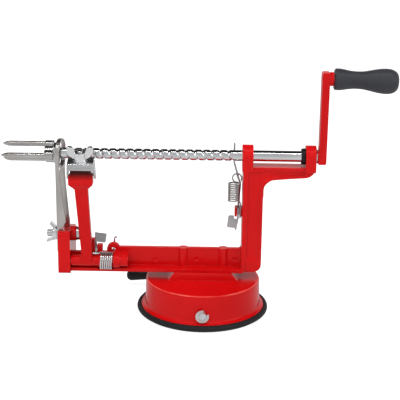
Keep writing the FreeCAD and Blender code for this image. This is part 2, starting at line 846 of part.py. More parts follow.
def make_cam_axle():
    """The lever's axle across the base, with its groove and the cam in the middle."""
    body = new_body("cam_axle")
    front = axle_front
    groove = clip_place - d.clip_thickness
    deep = d.axle_radius - d.axle_groove
    turn(body, "YZ_Plane", [
        (front, 0),
        (front, d.axle_radius - 0.5),
        (front + 0.5, d.axle_radius),
        (groove - 0.05, d.axle_radius),
        (groove - 0.05, deep),
        (clip_place + 0.05, deep),
        (clip_place + 0.05, d.axle_radius),
        (axle_back, d.axle_radius),
        (axle_back, 0),
    ], "H_Axis")
    pad(body, "XZ_Plane", [(0, d.cam_throw, d.cam_radius)], d.cam_half_length * 2, both_ways=True)
    return place(body, z=d.axle_height)


def make_axle_clip():
    """The open ring that snaps into the axle's groove."""
    body = new_body("axle_clip")
    inner = d.axle_radius - d.axle_groove + d.seat_gap
    pad(body, "XZ_Plane", [(0, 0, d.clip_radius), (0, 0, inner)],
        d.clip_thickness, shift=-clip_place)
    half = d.clip_opening / 2
    pocket(body, "XZ_Plane", [[
        (inner * 0.4, -half), (d.clip_radius + 1, -half),
        (d.clip_radius + 1, half), (inner * 0.4, half)]],
        d.clip_thickness + 2, shift=d.clip_thickness + 1 - clip_place)
    return place(body, z=d.axle_height, axis=(0, 1, 0), angle=d.clip_turn)


def make_pull_stud():
    """The stud that the cam lifts by its eye, with its foot over the pad's well."""
    body = new_body("pull_stud")
    half_height = d.cam_radius + d.stud_gap
    half_width = d.cam_radius + d.cam_throw + 0.4
    foot_top = d.stud_foot_height + d.stud_foot_thickness
    eye_bottom = stud_eye_centre - half_height - d.stud_eye_wall
    pad(body, "XZ_Plane", [rectangle(
        -half_width - d.stud_eye_wall, eye_bottom,
        half_width + d.stud_eye_wall, stud_eye_centre + half_height + d.stud_eye_wall, 3.0)],
        d.stud_half_width * 2, both_ways=True)
    pocket(body, "XZ_Plane", [rectangle(
        -half_width, stud_eye_centre - half_height,
        half_width, stud_eye_centre + half_height, 2.0)],
        d.stud_half_width * 2 + 2, both_ways=True)
    pad(body, "XY_Plane", [(0, 0, d.stud_neck_radius)], eye_bottom + 0.5 - foot_top, shift=foot_top)
    pad(body, "XY_Plane", [(0, 0, d.stud_foot_radius)], d.stud_foot_thickness,
        shift=d.stud_foot_height)
    return body


def place_on_lever(body):
    return place(body, y=lever_depth, z=d.axle_height, axis=(0, 1, 0),
                 angle=180 - d.lever_droop)


def make_suction_lever():
    """The flat lever on the back end of the axle."""
    body = new_body("suction_lever")
    half = d.lever_half_height
    pad(body, "XZ_Plane", [(0, 0, d.lever_eye_radius)], d.lever_thickness, reverse=True)
    pad(body, "XZ_Plane", [[
        (0, -half - 1.4),
        (d.lever_grip_start - 2, -half, 8.0),
        (d.lever_length, -half, 1.2),
        (d.lever_length, half, 1.2),
        (d.lever_grip_start - 2, half, 8.0),
        (0, half + 1.4),
    ]], d.lever_thickness, reverse=True)
    pocket(body, "XZ_Plane", [(0, 0, d.axle_radius + d.seat_gap)], d.lever_thickness + 2,
           shift=1)
    return place_on_lever(body)


def make_lever_grip():
    """The rounded sleeve pushed on the lever's end."""
    body = new_body("lever_grip")
    turn(body, "XY_Plane", [
        (d.lever_grip_start, 0),
        (d.lever_grip_start, d.lever_grip_radius - 0.6),
        (d.lever_grip_start + 0.8, d.lever_grip_radius),
        (d.lever_grip_end - 2.8, d.lever_grip_radius),
        (d.lever_grip_end - 0.8, d.lever_grip_radius - 1.2),
        (d.lever_grip_end, d.lever_grip_radius - 2.8),
        (d.lever_grip_end, 0),
    ], "H_Axis")
    half_height = d.lever_half_height + d.seat_gap
    half_depth = d.lever_thickness / 2 + d.seat_gap
    pocket(body, "XZ_Plane", [rectangle(
        d.lever_grip_start - 1, -half_height, d.lever_length + 0.2, half_height)],
        half_depth * 2, both_ways=True)
    place_on_lever(body)
    bind(body, "Placement.Base.y", lever_depth + d.lever_thickness / 2)
    return body


def make_drive_shaft():
    """The long feed screw's core, stepped down where the fork hub is fixed."""
    body = new_body("drive_shaft")
    turn(body, "XZ_Plane", [
        (d.shaft_left, 0),
        (d.shaft_left, d.shaft_neck_radius - 0.5),
        (d.shaft_left + 0.5, d.shaft_neck_radius),
        (hub_right, d.shaft_neck_radius),
        (hub_right, d.shaft_radius),
        (d.shaft_right - 0.6, d.shaft_radius),
        (d.shaft_right, d.shaft_radius - 0.6),
        (d.shaft_right, 0),
    ], "H_Axis")
    return place(body, z=d.shaft_height)


def make_rear_bush():
    """The flanged bush in the bearing post next to the crank."""
    body = new_body("rear_bush")
    flange_right = d.rear_boss_left - 0.1
    turn(body, "XZ_Plane", [
        (flange_right - d.bush_flange_width, shaft_bore),
        (flange_right - d.bush_flange_width, d.bush_flange_radius - 0.5),
        (flange_right + 0.5 - d.bush_flange_width, d.bush_flange_radius),
        (flange_right, d.bush_flange_radius),
        (flange_right, d.bush_radius),
        (rear_boss_right, d.bush_radius),
        (rear_boss_right, shaft_bore),
    ], "H_Axis")
    return place(body, z=d.shaft_height)


def prong_angles():
    return [d.first_prong_angle + 120 * number for number in range(3)]


def make_fork_hub():
    """The three-lobed hub with a blind hole for each prong and for the screw's neck."""
    body = new_body("fork_hub")
    lobe_centre = d.lobe_radius - d.lobe_half_width
    pad(body, "YZ_Plane", [(0, 0, d.hub_core_radius)], d.hub_length, shift=d.hub_left)
    for angle in prong_angles():
        across = angle.sine()
        up = angle.cosine()
        pad(body, "YZ_Plane", [(across * lobe_centre, up * lobe_centre, d.lobe_half_width)],
            d.hub_length, shift=d.hub_left)
    for angle in prong_angles():
        pocket(body, "YZ_Plane", [(
            angle.sine() * d.prong_circle, angle.cosine() * d.prong_circle,
            d.prong_radius + d.seat_gap)],
            d.prong_seat + 1, shift=d.hub_left - 1, reverse=True)
    pocket(body, "YZ_Plane", [(0, 0, d.shaft_neck_radius + d.seat_gap)],
           hub_right - d.shaft_left + 1.2, shift=hub_right + 1)
    return place(body, z=d.shaft_height)


def make_fork_prongs():
    """Three pointed rods that hold the fruit."""
    members = []
    root = d.hub_left + d.prong_seat
    for number, angle in enumerate(prong_angles()):
        prong = new_body(f"fork_prong_{number}")
        turn(prong, "XZ_Plane", [
            (d.prong_tip, 0),
            (d.prong_tip + d.prong_point * 0.5, d.prong_radius * 0.68),
            (d.prong_tip + d.prong_point, d.prong_radius),
            (root, d.prong_radius),
            (root, 0),
        ], "H_Axis")
        members.append(place(
            prong, y=angle.sine() * d.prong_circle,
            z=d.shaft_height + angle.cosine() * d.prong_circle))
    return group("fork_prongs", members)


def make_lock_nut():
    """The hexagon nut that locks the hub against the screw."""
    body = new_body("fork_lock_nut")
    across = d.lock_nut_flats / 3 ** 0.5
    corners = []
    for number in range(6):
        angle = math.radians(60 * number + 15)
        corners.append((across * math.cos(angle), across * math.sin(angle)))
    pad(body, "YZ_Plane", [corners], d.lock_nut_width, shift=hub_right)
    pocket(body, "YZ_Plane", [(0, 0, d.shaft_radius + d.seat_gap)], d.lock_nut_width + 2,
           shift=hub_right - 1, reverse=True)
    return place(body, z=d.shaft_height)


def make_crank_arm():
    """The drafted crank arm with its hub, and the boss that carries the grip."""
    body = new_body("crank_arm")
    foot = d.shaft_height - d.crank_foot
    shoulder = d.shaft_height + d.crank_hub_rise
    ease = d.crank_ease
    pad(body, "XZ_Plane", [[
        (d.crank_left, foot + ease),
        (d.crank_left + ease, foot),
        (d.crank_right - ease, foot),
        (d.crank_right, foot + ease),
        (d.crank_right, crank_top - ease),
        (d.crank_right - ease, crank_top),
        (d.crank_arm_left + ease, crank_top),
        (d.crank_arm_left, crank_top - ease),
        (d.crank_arm_left, shoulder),
        (d.crank_left, shoulder),
    ]], d.crank_half_depth * 2, both_ways=True, taper=-d.crank_draft)
    pad(body, "YZ_Plane", [(0, grip_height, d.grip_boss_radius)],
        d.grip_boss_right - d.crank_right + 2, shift=d.crank_right - 2)
    pocket(body, "YZ_Plane", [(0, d.shaft_height, d.shaft_radius + d.seat_gap)],
           d.shaft_right + 0.1 - d.crank_left + 1, shift=d.crank_left - 1, reverse=True)
    pocket(body, "YZ_Plane", [(0, 0, d.grip_pin_radius + d.seat_gap)],
           d.grip_boss_right - d.crank_left + 4, tilt=(0, grip_height, grip_face, d.grip_droop))
    return body


def place_on_grip(body):
    return place(body, x=grip_face, z=grip_height, axis=(0, 1, 0), angle=d.grip_droop)


def make_grip_pin():
    """The pin fixed in the crank arm, with a head that keeps the grip on."""
    body = new_body("grip_pin")
    end = d.grip_pin_length
    turn(body, "XZ_Plane", [
        (d.crank_arm_left + 2.2 - grip_face, 0),
        (d.crank_arm_left + 2.2 - grip_face, d.grip_pin_radius),
        (end - 3, d.grip_pin_radius),
        (end - 3, d.grip_pin_head_radius),
        (end, d.grip_pin_head_radius),
        (end, 0),
    ], "H_Axis")
    return place_on_grip(body)


def make_grip():
    """The black handle that turns freely on its pin."""
    body = new_body("grip")
    bore = d.grip_pin_radius + d.running_gap
    end = d.grip_pin_length
    waist = d.grip_waist_radius
    bulge = d.grip_bulb_radius - d.grip_waist_radius
    middle_place = (d.grip_waist_place + d.grip_bulb_place) / 2
    turn(body, "XZ_Plane", [
        (0, bore),
        (0, d.grip_collar_radius - 0.6),
        (0.6, d.grip_collar_radius),
        (d.grip_collar_width, d.grip_collar_radius),
        (d.grip_waist_place - 5, waist),
        (d.grip_waist_place + 2, waist),
        (middle_place + 1, waist + bulge * 0.5),
        (d.grip_bulb_place - 3, d.grip_bulb_radius),
        (d.grip_bulb_place + 4, d.grip_bulb_radius),
        (d.grip_length - 2.6, d.grip_bulb_radius - 1.5),
        (d.grip_length, d.grip_bulb_radius - 4.6),
        (d.grip_length, 0),
        (end + 0.4, 0),
        (end + 0.4, d.grip_pin_head_radius + 0.2),
        (end - 3.2, d.grip_pin_head_radius + 0.2),
        (end - 3.2, bore),
    ], "H_Axis")
    return place_on_grip(body)


def make_slicer_blade():
    """One bent strip: a slotted foot, two legs and the slanting coring ring."""
    body = new_body("slicer_blade")
    far_right = blade_face + d.blade_width + d.leg_offset
    ring_inner = d.ring_radius - d.ring_wall
    pad(body, "YZ_Plane", [rectangle(
        -d.leg_spread - 0.5, foot_bottom, d.leg_spread + 0.5, foot_top)],
        d.blade_thickness, shift=blade_face)
    for side, left, right in ((-1, blade_face, blade_face + d.blade_width),
                              (1, blade_face + d.leg_offset, far_right)):
        pad(body, "YZ_Plane", [[
            (side * (d.leg_spread + d.blade_thickness), foot_bottom),
            (side * (d.leg_spread + d.blade_thickness), foot_top),
            (side * d.ring_radius, d.shaft_height),
            (side * ring_inner, d.shaft_height),
            (side * d.leg_spread, foot_top),
            (side * d.leg_spread, foot_bottom),
        ]], right - left, shift=left)
    pad(body, "YZ_Plane", [rectangle(
        d.leg_spread, foot_bottom, d.leg_spread + d.blade_thickness, foot_top)],
        far_right - blade_face, shift=blade_face)
    pocket(body, "YZ_Plane", [rectangle(
        -d.bolt_radius - 0.2, d.bolt_height - d.foot_slot_half,
        d.bolt_radius + 0.2, d.bolt_height + d.foot_slot_half, d.bolt_radius)],
        d.blade_thickness + 2, shift=blade_face - 1, reverse=True)
    ring = new_body("coring_ring")
    reach = d.ring_radius + 2
    slope = d.leg_offset / (d.leg_spread * 2 + d.blade_thickness)
    near_left = blade_face - reach * slope + (d.leg_spread + d.blade_thickness / 2) * slope
    far_left = near_left + reach * 2 * slope
    pad(ring, "YZ_Plane", [(0, 0, d.ring_radius), (0, 0, ring_inner)],
        far_right - blade_face + 8, shift=blade_face - 4)
    pocket(ring, "XY_Plane", [[
        (blade_face - 6, -reach), (near_left, -reach), (far_left, reach), (blade_face - 6, reach)]],
        reach * 2, both_ways=True)
    pocket(ring, "XY_Plane", [[
        (near_left + d.blade_width, -reach), (far_right + 6, -reach),
        (far_right + 6, reach), (far_left + d.blade_width, reach)]],
        reach * 2, both_ways=True)
    place(ring, z=d.shaft_height)
    joined = doc.addObject("Part::Fuse", "slicer_blade_joined")
    joined.Base = body
    joined.Tool = ring
    joined.Label = "slicer_blade"
    body.Label = "slicer_blade_foot"
    joined.Label = "slicer_blade"
    return joined


def make_pivot_rod():
    """The plain rod through the wall, the arm's barrel and both lugs."""
    body = new_body("arm_pivot_rod")
    radius = d.pivot_radius
    turn(body, "XZ_Plane", [
        (d.wall_outer, 0),
        (d.wall_outer, radius),
        (d.small_lug_end, radius),
        (d.small_lug_end, 0),
    ], "H_Axis")
    return place(body, y=d.pivot_depth, z=d.pivot_height)


def make_slicer_bolt():
    """The pan head bolt that carries the slicer blade on the end wall."""
    body = new_body("slicer_bolt")
    turn(body, "XZ_Plane", [
        (d.bolt_end, 0),
        (d.bolt_end, d.bolt_radius - 0.6),
        (d.bolt_end + 0.6, d.bolt_radius),
        (bolt_seat, d.bolt_radius),
        (bolt_seat, d.bolt_head_radius),
        (bolt_seat + d.bolt_head_height - 1.8, d.bolt_head_radius),
        (bolt_seat + d.bolt_head_height - 0.5, d.bolt_head_radius - 0.7),
        (bolt_seat + d.bolt_head_height, d.bolt_head_radius - 2.2),
        (bolt_seat + d.bolt_head_height, 0),
    ], "H_Axis")
    return place(body, z=d.bolt_height)


def make_washer(label, bore):
    body = new_body(label)
    pad(body, "XY_Plane", [(0, 0, d.washer_radius), (0, 0, bore + d.seat_gap * 2)],
        d.washer_thickness)
    return body


def make_wing_nut(label, bore, hub_height, reach, wing_height):
    """A tapered hub with two raised wings, standing on its own flat face."""
    body = new_body(label)
    top = d.nut_hub_top_radius
    turn(body, "XZ_Plane", [
        (bore, 0),
        (d.nut_hub_radius, 0),
        (d.nut_hub_radius, 1.0),
        (top, hub_height),
        (bore, hub_height),
    ], "V_Axis")
    for side in (-1, 1):
        pad(body, "XZ_Plane", [[
            (side * (bore + 0.4), 1.0),
            (side * d.nut_hub_radius, 1.0),
            (side * reach * 0.72, 2.6, 2.0),
            (side * reach, wing_height * 0.62, 3.0),
            (side * (reach - 0.6), wing_height, 1.6),
            (side * reach * 0.55, wing_height * 0.94, 2.2),
            (side * (top - 0.4), hub_height - 0.2),
            (side * (bore + 0.4), hub_height - 0.4),
        ]], d.nut_wing_thickness, both_ways=True)
    return body


def on_bracket(body, height=0):
    """Put a piece on the arm's sloping head, at a height above the seat."""
    return place(body, x=d.seat_centre, y=d.seat_depth - d.seat_tilt.sine() * height,
                 z=seat_height + d.seat_tilt.cosine() * height,
                 axis=(1, 0, 0), angle=d.seat_tilt)


def make_side_nut():
    nut = make_wing_nut("slicer_wing_nut", d.bolt_radius + d.running_gap, d.side_nut_hub_height,
                        d.side_nut_wing_reach, d.side_nut_wing_height)
    place(nut, x=blade_face - d.washer_thickness, z=d.bolt_height)
    turned = FreeCAD.Rotation(FreeCAD.Vector(1, 0, 0), float(d.side_nut_turn))
    nut.Placement.Rotation = turned.multiply(FreeCAD.Rotation(FreeCAD.Vector(0, 1, 0), -90))
    return nut


def make_peeler_arm():
    """The sprung arm: barrel, leaning neck and the wide head under the bracket."""
    body = new_body("peeler_arm")
    slope = d.seat_tilt.slope()
    front_top = seat_height + (d.head_front - d.seat_depth) * slope
    back_top = seat_height + (d.head_back - d.seat_depth) * slope
    pad(body, "YZ_Plane", [[
        (d.arm_foot_front, d.pivot_height, 2.0),
        (d.arm_foot_back, d.pivot_height, 2.0),
        (d.arm_foot_back, arm_foot_top),
        (d.arm_neck_back, arm_neck_height),
        (d.head_back, head_bottom),
        (d.head_back, back_top),
        (d.head_front, front_top),
        (d.head_front, head_bottom + 1.6, 1.0),
        (d.arm_neck_front, arm_neck_height, 2.0),
        (d.arm_foot_front, arm_foot_top, 12.0),
    ]], d.head_width, shift=d.head_left)
    low = d.pivot_height - 8
    high = seat_height + 10
    corner = d.head_corner
    inset = d.head_upper_inset
    for foot, neck, edge, side in (
            (d.arm_foot_left, d.arm_neck_left, d.head_left, 1),
            (d.arm_foot_right, d.arm_neck_right, head_right, -1)):
        away = edge - side * 6
        pocket(body, "XZ_Plane", [[
            (away, low),
            (foot, low),
            (foot, arm_foot_top),
            (neck, arm_neck_height, 1.5),
            (edge + side * corner, head_bottom),
            (edge, head_bottom + corner),
            (edge, head_shoulder),
            (edge + side * inset, head_shoulder + inset),
            (edge + side * inset, high),
            (away, high),
        ]], 80, both_ways=True)
    barrel_left = wall_inner + d.touch_gap
    pad(body, "YZ_Plane", [(d.pivot_depth, d.pivot_height, d.barrel_radius)],
        d.barrel_end - barrel_left, shift=barrel_left)
    pad(body, "YZ_Plane", [(d.pivot_depth, d.pivot_height, d.spring_post_radius)],
        d.spring_post_end - d.barrel_end, shift=d.barrel_end)
    pocket(body, "YZ_Plane", [(d.pivot_depth, d.pivot_height, arm_bore)],
           d.spring_post_end - wall_inner + 4, shift=wall_inner - 2, reverse=True)
    pocket(body, "XY_Plane", [(0, 0, d.bracket_bolt_radius + d.seat_gap)],
           d.bracket_bolt_depth + 3,
           tilt=(d.seat_centre, d.seat_depth - d.seat_tilt.sine() * 3,
                 seat_height + d.seat_tilt.cosine() * 3, d.seat_tilt))
    return body


def leg_inner(depth):
    """Half the width between the bracket's flaring legs, at a depth under the plate."""
    return plate_half - d.sheet_thickness + d.bracket_leg_flare * depth / d.bracket_leg_length


def make_blade_bracket():
    """The bent sheet saddle that carries the peeling blade over the arm's head."""
    body = new_body("blade_bracket")
    thick = d.sheet_thickness
    front = d.bracket_plate_front
    back = d.bracket_plate_back
    drop = d.bracket_apron * 0.866
    length = d.bracket_leg_length
    pad(body, "YZ_Plane", [[
        (back, 0),
        (back, thick),
        (front, thick, 1.2),
        (front - d.bracket_apron * 0.5 - thick * 0.866, -drop + thick * 0.5),
        (front - d.bracket_apron * 0.5, -drop),
        (front, 0),
    ]], d.bracket_plate_width, both_ways=True)
    for side in (-1, 1):
        pad(body, "XZ_Plane", [[
            (side * plate_half, thick),
            (side * (plate_half + d.bracket_leg_flare), thick - length),
            (side * leg_inner(length), thick - length),
            (side * leg_inner(0), thick),
        ]], back - front, shift=-back)
    for sign, edge in ((1, front), (-1, back)):
        pocket(body, "YZ_Plane", [[
            (edge - sign * 2, -3.5),
            (edge, -3.5),
            (edge + sign * 3.2, thick - length + 1.5),
            (edge + sign * 3.2, thick - length - 1),
            (edge - sign * 2, thick - length - 1),
        ]], d.bracket_plate_width + 6, both_ways=True)
    pocket(body, "XY_Plane", [(0, 0, d.bracket_bolt_radius + d.seat_gap * 2)], thick + 2,
           shift=thick + 1)
    return on_bracket(body)


def make_peeling_blade():
    """The straight blade held across the bracket's legs on the fruit's side."""
    body = new_body("peeling_blade")
    top = 4.0
    bottom = d.peel_blade_height + 4.0
    pad(body, "XZ_Plane", [[
        (-leg_inner(top + d.sheet_thickness), -top),
        (leg_inner(top + d.sheet_thickness), -top),
        (leg_inner(bottom + d.sheet_thickness), -bottom),
        (-leg_inner(bottom + d.sheet_thickness), -bottom),
    ]], d.peel_blade_thickness, shift=-d.peel_blade_place - d.peel_blade_thickness)
    pocket(body, "YZ_Plane", [[
        (d.peel_blade_place - 1, -bottom - 1),
        (d.peel_blade_place + d.peel_blade_thickness - 0.2, -bottom - 1),
        (d.peel_blade_place + d.peel_blade_thickness - 0.2, -bottom),
        (d.peel_blade_place, -bottom + 1.6),
        (d.peel_blade_place - 1, -bottom + 1.6),
    ]], d.bracket_plate_width + 6, both_ways=True)
    return on_bracket(body)


def make_bracket_bolt():
    """The stud in the arm's head that the bracket's wing nut tightens on."""
    body = new_body("bracket_bolt")
    radius = d.bracket_bolt_radius
    turn(body, "XZ_Plane", [
        (0, -d.bracket_bolt_depth),
        (radius, -d.bracket_bolt_depth),
        (radius, d.bracket_bolt_top - 0.5),
        (radius - 0.5, d.bracket_bolt_top),
        (0, d.bracket_bolt_top),
    ], "V_Axis")
    return on_bracket(body)


def make_side_pin(label, left, right, radius, depth, height):
    """A headless pin along X."""
    body = new_body(label)
    pad(body, "YZ_Plane", [(depth, height, radius)], right - left, shift=left)
    return body


def make_arm_latch():
    """The sheet catch between its two ears, with a thumb tab bent to the side."""
    body = new_body("arm_latch")
    thick = d.sheet_thickness
    half = d.latch_stem_half
    tab_depth = d.latch_tab_depth
    pad(body, "YZ_Plane", [(d.latch_depth, latch_height, d.latch_boss_radius)],
        thick, shift=d.latch_left)
    pad(body, "YZ_Plane", [[
        (d.latch_depth + half, latch_height),
        (tab_depth + thick, latch_tab_bottom + 0.6),
        (tab_depth + thick, latch_tab_bottom + d.latch_tab_height),
        (tab_depth, latch_tab_bottom + d.latch_tab_height),
        (tab_depth, latch_tab_bottom - 0.6),
        (d.latch_depth - half, latch_height),
    ]], thick, shift=d.latch_left)
    pad(body, "YZ_Plane", [[
        (d.latch_depth - 0.6, latch_height + 1.4),
        (d.latch_nose_depth, latch_nose_height + 1.2),
        (d.latch_nose_depth - 0.6, latch_nose_height - 0.3),
        (d.latch_nose_depth + 1.0, latch_nose_height),
        (d.latch_depth + 0.6, latch_height - 1.4),
    ]], thick, shift=d.latch_left)
    left = d.latch_left
    right = d.latch_left + d.latch_tab_width + thick
    sag = d.latch_tab_width * 0.16
    pad(body, "XZ_Plane", [[
        (left, latch_tab_bottom),
        (left + thick, latch_tab_bottom - 0.2),
        (right, latch_tab_bottom - sag, 0.8),
        (right + 1.0, latch_tab_bottom + d.latch_tab_height - sag, 0.8),
        (left, latch_tab_bottom + d.latch_tab_height),
    ]], thick, shift=-tab_depth - thick)
    pocket(body, "YZ_Plane", [(
        d.latch_depth, latch_height, d.latch_pin_radius + d.running_gap)],
        thick + 2, shift=left - 1, reverse=True)
    return body


def make_feed_release():
    """The sheet lever whose top rests behind the screw's thread."""
    body = new_body("feed_release")
    thick = d.sheet_thickness
    ear_low = release_ear_bottom - 0.8
    ear_high = release_ear_top + 0.9
    front = d.release_strip_front
    back = front + d.release_strip_width
    finger = d.release_finger_front
    finger_back = finger + d.release_strip_width
    tab_front = d.release_tab_front
    tang = release_tang_height
    pad(body, "YZ_Plane", [[
        (tab_front, release_foot),
        (d.release_slot_back - 1.4, release_foot),
        (d.release_slot_back, ear_low - 3),
        (d.release_slot_back, ear_high + 1),
        (back, ear_high + 4),
        (back, release_joggle_low),
        (finger_back, release_joggle_high),
        (finger_back, release_top),
        (finger, release_top),
        (finger, release_joggle_high),
        (front, tang + 2.4),
        (front, tang + 0.8),
        (d.release_tang_front, tang + 0.8),
        (d.release_tang_front, tang - 0.8),
        (front, tang - 0.8),
        (front, ear_high + 2),
        (-d.release_boss, ear_high - 1),
        (-d.release_boss, ear_low + 0.5),
        (tab_front, ear_low - 1),
    ]], d.release_high_left + thick - d.release_screw_left + 0.6,
        shift=d.release_screw_left - 0.3)
    far = d.release_high_left + thick + 2
    strip = [
        (d.release_foot_left, release_foot - 1),
        (d.release_left, ear_low),
        (d.release_left, ear_high),
        (d.release_high_left, release_joggle_low),
        (d.release_screw_left, release_joggle_high),
        (d.release_screw_left, release_top + 1),
    ]
    pocket(body, "XZ_Plane", [strip + [
        (d.release_screw_left - 2, release_top + 1),
        (d.release_screw_left - 2, release_foot - 1)]], 60, both_ways=True)
    pocket(body, "XZ_Plane", [[(x + thick, z) for x, z in strip] + [
        (far, release_top + 1), (far, release_foot - 1)]], 60, both_ways=True)
    stem = d.release_foot_left + 0.6
    tab_right = d.release_ear_left - d.touch_gap
    pad(body, "XZ_Plane", [[
        (d.release_tab_left, release_tab_bottom, 0.8),
        (stem, release_tab_bottom - 0.6),
        (stem + 0.8, ear_low - 1.2),
        (tab_right, ear_low - 0.6),
        (tab_right, release_tab_top, 0.8),
        (d.release_tab_left + 1.0, release_tab_top, 0.8),
    ]], thick, shift=-tab_front - thick)
    pocket(body, "YZ_Plane", [(0, d.release_pin_height, d.release_pin_radius + d.running_gap)],
           10, shift=d.release_left - 4, reverse=True)
    return body


def vector(x, y, z):
    return FreeCAD.Vector(float(x), float(y), float(z))


def arc_between(start, corner, end):
    """The circular arc that leaves start towards corner and reaches end from it."""
    chord_middle = (start + end) / 2
    half = (end - start).Length / 2
    reach = (corner - start).Length
    half_turn = math.acos(min(1.0, half / reach))
    rise = (corner - chord_middle).normalize() * (half * math.tan(half_turn / 2))
    radii.append(half / math.sin(half_turn))
    return Part.Arc(start, chord_middle + rise, end).toShape()


def join(start, start_way, end, end_way):
    """A straight line, or two arcs that meet tangent to each other and to both ways."""
    gap = end - start
    if gap.getAngle(start_way) < 1e-6 and gap.getAngle(end_way) < 1e-6:
        return [Part.LineSegment(start, end).toShape()]
    ways = start_way + end_way
    bend = 2 * (1 - start_way.dot(end_way))
    along = gap.dot(ways)
    reach = (math.sqrt(along * along + bend * gap.dot(gap)) - along) / bend
    first = start + start_way * reach
    second = end - end_way * reach
    joint = (first + second) / 2
    return [arc_between(start, first, joint), arc_between(joint, second, end)]


def coil(centre, axis, first, radius, pitch, turns, hand=1):
    """Points and directions each half turn along a coil that starts at first."""
    across = axis.cross(first) * hand
    steps = math.ceil(turns * 2)
    knots = []
    for number in range(steps + 1):
        angle = 2 * math.pi * turns * number / steps
        out = first * math.cos(angle) + across * math.sin(angle)
        way = across * math.cos(angle) - first * math.sin(angle)
        point = centre + out * radius + axis * (pitch * angle / (2 * math.pi))
        knots.append((point, (way * radius + axis * (pitch / (2 * math.pi))).normalize()))
    return knots


def least_gap(edges, wire):
    """The smallest gap between stretches of the wire that aren't neighbours."""
    points = []
    travelled = 0.0
    pieces = 12
    for edge in edges:
        for number, point in enumerate(edge.discretize(Number=pieces + 1)[1:], start=1):
            points.append((travelled + edge.Length * number / pieces, point))
        travelled += edge.Length
    best = 1e9
    for number, (place_a, a) in enumerate(points):
        for place_b, b in points[number + 1:]:
            if place_b - place_a > wire * 6:
                best = min(best, (b - a).Length)
    return best - wire


def wire_section(point, way, wire):
    """A six-sided outline inside the wire's round one, square to the path."""
    across = way.cross(FreeCAD.Vector(0, 0, 1))
    if across.Length < 0.1:
        across = way.cross(FreeCAD.Vector(0, 1, 0))
    across.normalize()
    upward = way.cross(across).normalize()
    corners = []
    for number in range(6):
        angle = math.pi * (number + 0.5) / 3
        corners.append(point + across * (wire / 2 * math.cos(angle))
                       + upward * (wire / 2 * math.sin(angle)))
    return Part.makePolygon(corners + corners[:1])


def make_spring(label, knots, wire):
    """One unbroken wire along the knots."""
    radii.clear()
    edges = []
    for (start, start_way), (end, end_way) in zip(knots, knots[1:]):
        edges += join(start, start_way, end, end_way)
    path = Part.Wire(edges)
    section = wire_section(knots[0][0], knots[0][1], wire)
    spring = doc.addObject("Part::Feature", label)
    spring.Label = label
    spring.Shape = path.makePipeShell([section], True, False)
    spring.Placement = FreeCAD.Placement()
    expected = path.Length * Part.Face(section).Area
    print(f"{label}: least gap to itself {least_gap(edges, wire):.2f} mm, "
          f"least bend radius {min(radii):.2f} mm, "
          f"volume over section times length {spring.Shape.Volume / expected:.4f}")
    return spring


radii = []


def make_arm_spring():
    """The torsion spring round the arm's hub, with one leg through the frame's ear."""
    axis = vector(1, 0, 0)
    wire = float(d.arm_spring_wire)
    left = d.barrel_end + d.touch_gap + d.arm_spring_wire / 2
    knots = coil(vector(left, d.pivot_depth, d.pivot_height), axis, vector(0, 0, 1),
                 float(d.arm_spring_radius), float(d.arm_spring_pitch),
                 float(d.arm_spring_turns), hand=-1)
    bend = float(d.wire_bend) * 0.7
    start, way = knots[0]
    corner = start - way * bend
    leg = vector(d.arm_spring_leg_end, corner.y, corner.z)
    knots = [(leg, axis), (corner - axis * bend, axis)] + knots
    end, way = knots[-1]
    bend = float(d.wire_bend)
    reach = (float(d.arm_spring_tail_depth) - bend - end.y) / way.y
    turn_start = end + way * reach
    up = vector(0, 0, 1)
    turn_end = turn_start + (way + up) * bend
    tip = vector(turn_end.x, turn_end.y, d.arm_spring_tail_top)
    knots += [(turn_start, way), (turn_end, up), (tip, up)]
    return make_spring("peeler_arm_spring", knots, wire)


def make_release_spring():
    """The extension spring between the release lever's tang and the post's ear."""
    up = vector(0, 0, 1)
    wire = float(d.release_spring_wire)
    radius = float(d.release_spring_radius)
    turns = float(d.release_spring_full_turns) + 0.625
    corner = math.sqrt(0.5)
    centre = vector(d.release_spring_centre, d.release_spring_depth, release_spring_bottom)
    knots = coil(centre, up, vector(corner, corner, 0), radius, float(d.release_spring_pitch), turns)
    top = float(release_spring_bottom + d.release_spring_pitch * turns)
    loop_radius = float(d.release_loop_radius)
    loop_centre = vector(d.release_loop_centre, d.release_spring_depth, top + loop_radius + 0.6)
    knots += coil(loop_centre, vector(0, 1, 0), vector(1, 0, 0), loop_radius, 0.0, 0.8, hand=-1)
    down = -up
    back = vector(0, 1, 0)
    bend = float(d.release_spring_wire) * 1.1
    side = float(d.release_tail_place)
    depth = float(d.release_spring_depth)
    low = float(release_tail_end)
    tail = [
        (vector(side, d.release_hook_end, low), -back),
        (vector(side, depth + bend, low), -back),
        (vector(side, depth, low + bend), up),
        (vector(side, depth, release_spring_bottom - 3.0), up),
    ]
    return make_spring("release_spring", tail + knots, wire)


